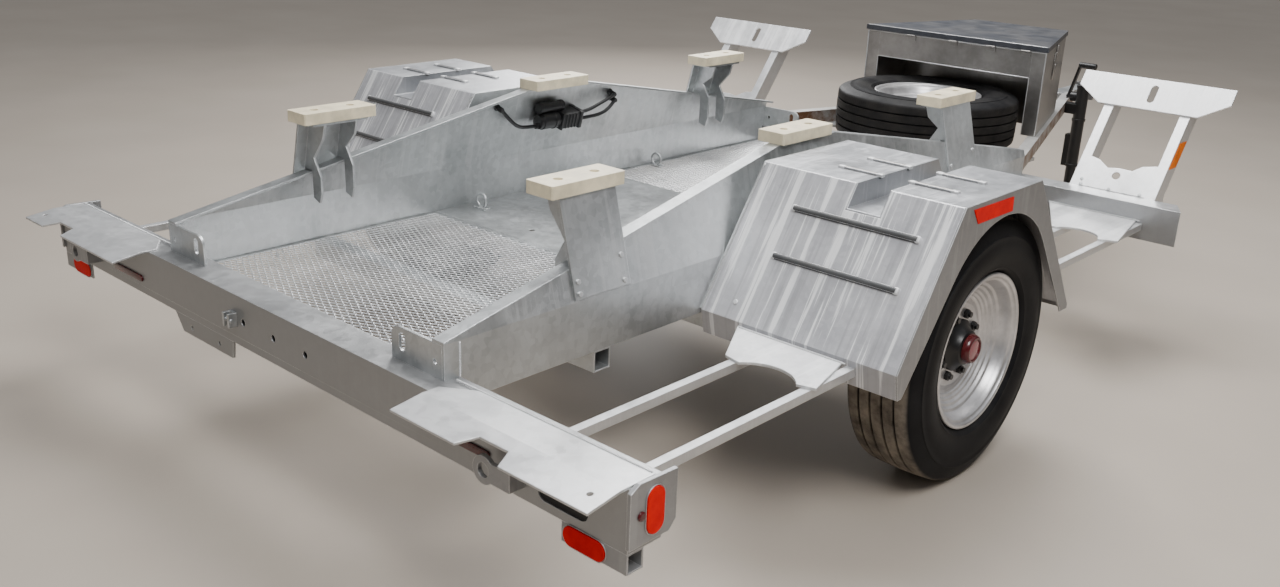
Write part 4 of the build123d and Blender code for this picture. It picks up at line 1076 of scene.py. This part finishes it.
def oval_plate(centre, size, along, facing, proud, rim, sunk):
    """Oval plate with a rim, its middle sunk, or raised where sunk is below nought."""
    length, height = size
    deselect()
    bpy.ops.mesh.primitive_circle_add(vertices=36, radius=height / 2000, fill_type="NGON")
    plate = bpy.context.active_object
    stretch = (length - height) / 2000
    in_edit()
    for way in (-1, 1):
        pick_points(lambda point: point.x * way > 1e-5)
        bpy.ops.transform.translate(value=(way * stretch, 0, 0))
    pick_all()
    bpy.ops.mesh.extrude_region_move(TRANSFORM_OT_translate={"value": (0, 0, proud / 1000)})
    pick_faces(lambda normal, point: abs(normal.z) > 0.9 and point.z > proud / 2000)
    bpy.ops.mesh.inset(thickness=rim / 1000)
    bpy.ops.transform.translate(value=(0, 0, -sunk / 1000))
    pick_all()
    bpy.ops.mesh.normals_make_consistent(inside=False)
    out_of_edit()
    side = facing.cross(along)
    plate.matrix_world = Matrix.Translation(centre) @ Matrix((along, side, facing)).transposed().to_4x4()
    settle(plate)
    return plate


def build_lamp_rings():
    level, upright, rearward = Vector((1, 0, 0)), Vector((0, 0, 1)), Vector((0, -1, 0))
    rims = []
    gaskets = []
    shaded = []
    for side, strip_x, strip_z in strip_lamps:
        outward = Vector((side, 0, 0))
        side_lamp = at(side * end_face, -1410, side_lamp_height)
        marker = at(side * end_face, -1450, side_lamp_height)
        rims.append(oval_plate(at(side * 1166, rear_face, 378), (127, 53), level, rearward, 2.6, 3, 1.6))
        rims.append(oval_plate(side_lamp, (112, 57), upright, outward, 2.6, 3, 1.6))
        gaskets.append(oval_plate(at(side * 1100, slot_face, 447), (147, 41), level, rearward, 3.0, 5, 1.8))
        # Markers and strip lamps take the dark red: red lenses darkened as painted shade
        shaded.append(turned(marker_outline, marker, outward, 24, closed=False))
        strip = at(strip_x, rear_face, strip_z)
        shaded.append(oval_plate(strip, (186, 20), level, rearward, 4.6, 3, -0.8))
    place_piece(joined(rims), "lamp_rims", skirt_zinc, smooth=30)
    place_piece(joined(gaskets), "slot_gaskets", gasket, smooth=30)
    place_piece(joined(shaded), "shade_darkened_lenses", dark_red_and_shade, smooth=30)


# Brake actuator and hoses, in millimetres forwards, up and off the left rail's leaning web
body_up = 145
housing_up = 196
band_places = (104, 120, 136, 152)
hose_routes = (
    ("rear_hose", [(-20, 132, 40), (-62, 132, 40), (-116, 142, 44), (-162, 176, 40), (-196, 212, 26)]),
    ("front_upper_hose", [(190, 162, 44), (236, 162, 44), (290, 186, 48), (345, 198, 40), (386, 204, 26)]),
    ("front_lower_hose", [(190, 132, 40), (240, 132, 40), (300, 140, 50), (352, 158, 48), (398, 178, 26)]),
)
hose_radius = 0.007
plug_past_hose = 9


def on_left_web(forwards, up, off):
    reach = off + rail_wall
    x = web_face - reach * math.cos(web_lean) - up * math.sin(web_lean)
    z = crease_height - reach * math.sin(web_lean) + up * math.cos(web_lean)
    return at(-x, forwards, z)


def web_box(size, forwards, up, off, ease):
    """Eased box set square on the left rail's leaning web. size is (forwards, up, off)."""
    return eased_box((size[2], size[0], size[1]), on_left_web(forwards, up, off), ease, (0, web_lean, 0))


def web_rod(radius, length, forwards, up, off):
    """Rod that runs forwards along the left rail's leaning web."""
    deselect()
    bpy.ops.mesh.primitive_cylinder_add(
        vertices=20,
        radius=radius / 1000,
        depth=length / 1000,
        location=on_left_web(forwards, up, off),
        rotation=(math.radians(90), 0, 0),
    )
    in_edit()
    pick_faces(lambda normal, point: abs(normal.z) > 0.9)
    bpy.ops.mesh.inset(thickness=0.15 * radius / 1000)
    bpy.ops.transform.resize(value=(1, 1, 1.02))
    return out_of_edit()


def build_actuator():
    parts = [
        web_box((96, 62, 66), 132, body_up, 36, 7),
        web_box((18, 70, 72), 178, body_up, 38, 4),
        web_box((8, 68, 70), 86, body_up, 37, 3),
        web_rod(31, 78, 40, body_up, 36),
        web_rod(34, 8, 60, body_up, 36),
        web_rod(26, 26, -2, body_up, 38),
        web_rod(19, 122, 44, housing_up, 28),
        web_rod(21, 12, 94, housing_up, 28),
        web_rod(21, 10, -8, housing_up, 28),
        web_rod(11, 16, 190, 162, 44),
        web_rod(11, 16, 190, 132, 40),
        web_rod(11, 16, -18, 132, 40),
    ]
    for forwards in band_places:
        parts.append(web_box((5, 56, 72), forwards, body_up, 37, 1.5))
    place_piece(joined(parts), "actuator_body", black_plastic, stands_for=["actuator"])


def build_hoses():
    for name, route in hose_routes:
        points = [on_left_web(*stop) for stop in route]
        curve = bpy.data.curves.new(name, "CURVE")
        curve.dimensions = "3D"
        spline = curve.splines.new("NURBS")
        spline.points.add(len(points) - 1)
        for spot, point in zip(spline.points, points):
            spot.co = (*point, 1)
        spline.order_u = 3
        spline.use_endpoint_u = True
        curve.resolution_u = 16
        curve.bevel_depth = hose_radius
        curve.bevel_resolution = 5
        curve.use_fill_caps = True
        hose = bpy.data.objects.new(name, curve)
        bpy.context.collection.objects.link(hose)
        curve.materials.append(black_plastic)
        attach(hose, "chassis")
        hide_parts("hoses")
        forwards, up, off = route[-1]
        tip = off + plug_past_hose
        foot = on_left_web(forwards, up, 0)
        way = (on_left_web(forwards, up, tip) - foot).normalized()
        plug_outline = ((0, 0), (0, 13), (4, 13), (6, 10), (tip - 5, 10), (tip, 7), (tip, 0))
        plug = turned(plug_outline, Vector((0, 0, 0)), Vector((0, 0, 1)), steps=20, closed=False)
        plug = copies(plug, [(foot, way)])
        place_piece(plug, name + "_plug", black_plastic)


# Toolbox trim and latches, and the jack's caps and grip
box_rear_y = 2012.6
box_rear_half = 449.3
shelf_half = 383
box_taper = 0.318
latch_y = 2344
latch_from_rear = 330
latch_parts = (((7, 92, 120), 3, 880), ((9, 60, 44), 7, 868), ((12, 22, 60), 6, 944))
jack_x = 232
jack_y = 3000
top_cap = ((690, 0), (690, 32.5), (702, 32.5), (706, 29), (708, 0))
foot_collar = ((285, 30.2), (285, 34), (297, 34), (299, 30.2))
middle_collar = ((520, 30.2), (520, 33.5), (532, 33.5), (532, 30.2))
grip_ribs = [point for along in (4, 24, 44, 64) for point in ((along, 15.5), (along + 10, 14.5))]
grip_outline = [(0, 0), (0, 13), *grip_ribs, (82, 15.5), (86, 13), (86, 0)]


def build_toolbox_trim():
    strips = [eased_box((2 * box_rear_half - 6, 3, 5), at(0, box_rear_y, 975), 1)]
    for x in (-box_rear_half + 3, box_rear_half - 3):
        strips.append(eased_box((5, 3, 362), at(x, box_rear_y, 794), 1))
    strips.append(eased_box((2 * shelf_half - 6, 3, 4), at(0, box_rear_y, 861), 1))
    for x in (-shelf_half, shelf_half):
        strips.append(eased_box((3, 3, 250), at(x, box_rear_y + 0.2, 735), 1))
    place_piece(joined(strips), "toolbox_edge_strips", step_zinc)
    lid_strip = eased_box((898, 6, 3), at(0, 2011.5, 1000), 1)
    place_piece(lid_strip, "lid_edge_strip", step_zinc, "box_lid")
    lean = math.atan2(box_taper, 1)
    x = box_rear_half - latch_from_rear * box_taper
    latches = []
    for side in (-1, 1):
        for size, off, z in latch_parts:
            latches.append(eased_box(size, at(side * (x + off), latch_y, z), 3, (0, 0, side * lean)))
    place_piece(joined(latches), "toolbox_latches", sheet_metal)


def build_jack_details():
    upwards = Vector((0, 0, 1))
    tube_axis = at(jack_x, jack_y, 0)
    parts = [
        turned(top_cap, tube_axis, upwards, 40, closed=False),
        turned(foot_collar, tube_axis, upwards, 40),
        turned(middle_collar, tube_axis, upwards, 40),
        turned(grip_outline, at(jack_x - 38, jack_y, 800), Vector((1, 0, 0)), 24, closed=False),
    ]
    place_piece(joined(parts), "jack_caps_and_grip", black_plastic, smooth=30)
    spots = [at(jack_x - 48, jack_y + y, z) for y in (-14, 14) for z in (310, 420)]
    bolts = [(spot, (-1, 0, 0)) for spot in spots]
    place_piece(copies(hex_head(5, 4, 7), bolts), "jack_bolts", plain_zinc)


# Floor and light. Each light is (name, place, aim, size, power)
floor_shades = ((0.36, 0.31, 0.258), (0.45, 0.395, 0.335))
sky_shades = [(0.0, (0.1, 0.09, 0.08)), (0.3, 0.2), (0.8, (0.9, 0.92, 0.95))]
sky_strength = 0.7
lights = (
    ("key light", (3.0, -3.2, 4.4), (0, -0.4, 0.5), 2.0, 200.0),
    ("top light", (-0.6, 0.6, 5.0), (0, -0.2, 0.5), 3.0, 380.0),
    ("far light", (-4.5, 3.5, 3.0), (0, 0, 0.6), 2.0, 150.0),
)


def studio():
    deselect()
    bpy.ops.mesh.primitive_plane_add(size=120)
    floor = bpy.context.active_object
    floor.name = "studio_floor"
    material, tree, shader = new_material("pale floor", Roughness=0.55)
    cloud = tree.noise(tree.add("TexCoord").outputs["Object"], 1.2, 5.0)
    tree.link(tree.mix(cloud, *floor_shades), shader.inputs["Base Color"])
    floor.data.materials.append(material)
    world = bpy.data.worlds.new("studio sky")
    bpy.context.scene.world = world
    world.use_nodes = True
    sky = Sheet(world.node_tree)
    height = sky.add("SeparateXYZ", {0: sky.add("TexCoord").outputs["Generated"]}).outputs[2]
    back = world.node_tree.nodes["Background"]
    sky.link(sky.ramp(height, sky_shades), back.inputs[0])
    back.inputs[1].default_value = sky_strength
    for name, place, aim, size, power in lights:
        bpy.ops.object.light_add(type="AREA", location=place)
        lamp = bpy.context.active_object
        lamp.name = name
        lamp.data.energy = power
        lamp.data.size = size
        lamp.rotation_euler = (Vector(aim) - Vector(place)).to_track_quat("-Z", "Y").to_euler()


place_camera()
build_hoses()
build_wheels()
build_floor()
build_fasteners()
build_welds()
build_grip_bars()
build_lamp_rings()
build_actuator()
build_toolbox_trim()
build_jack_details()
studio()

bpy.context.view_layer.update()
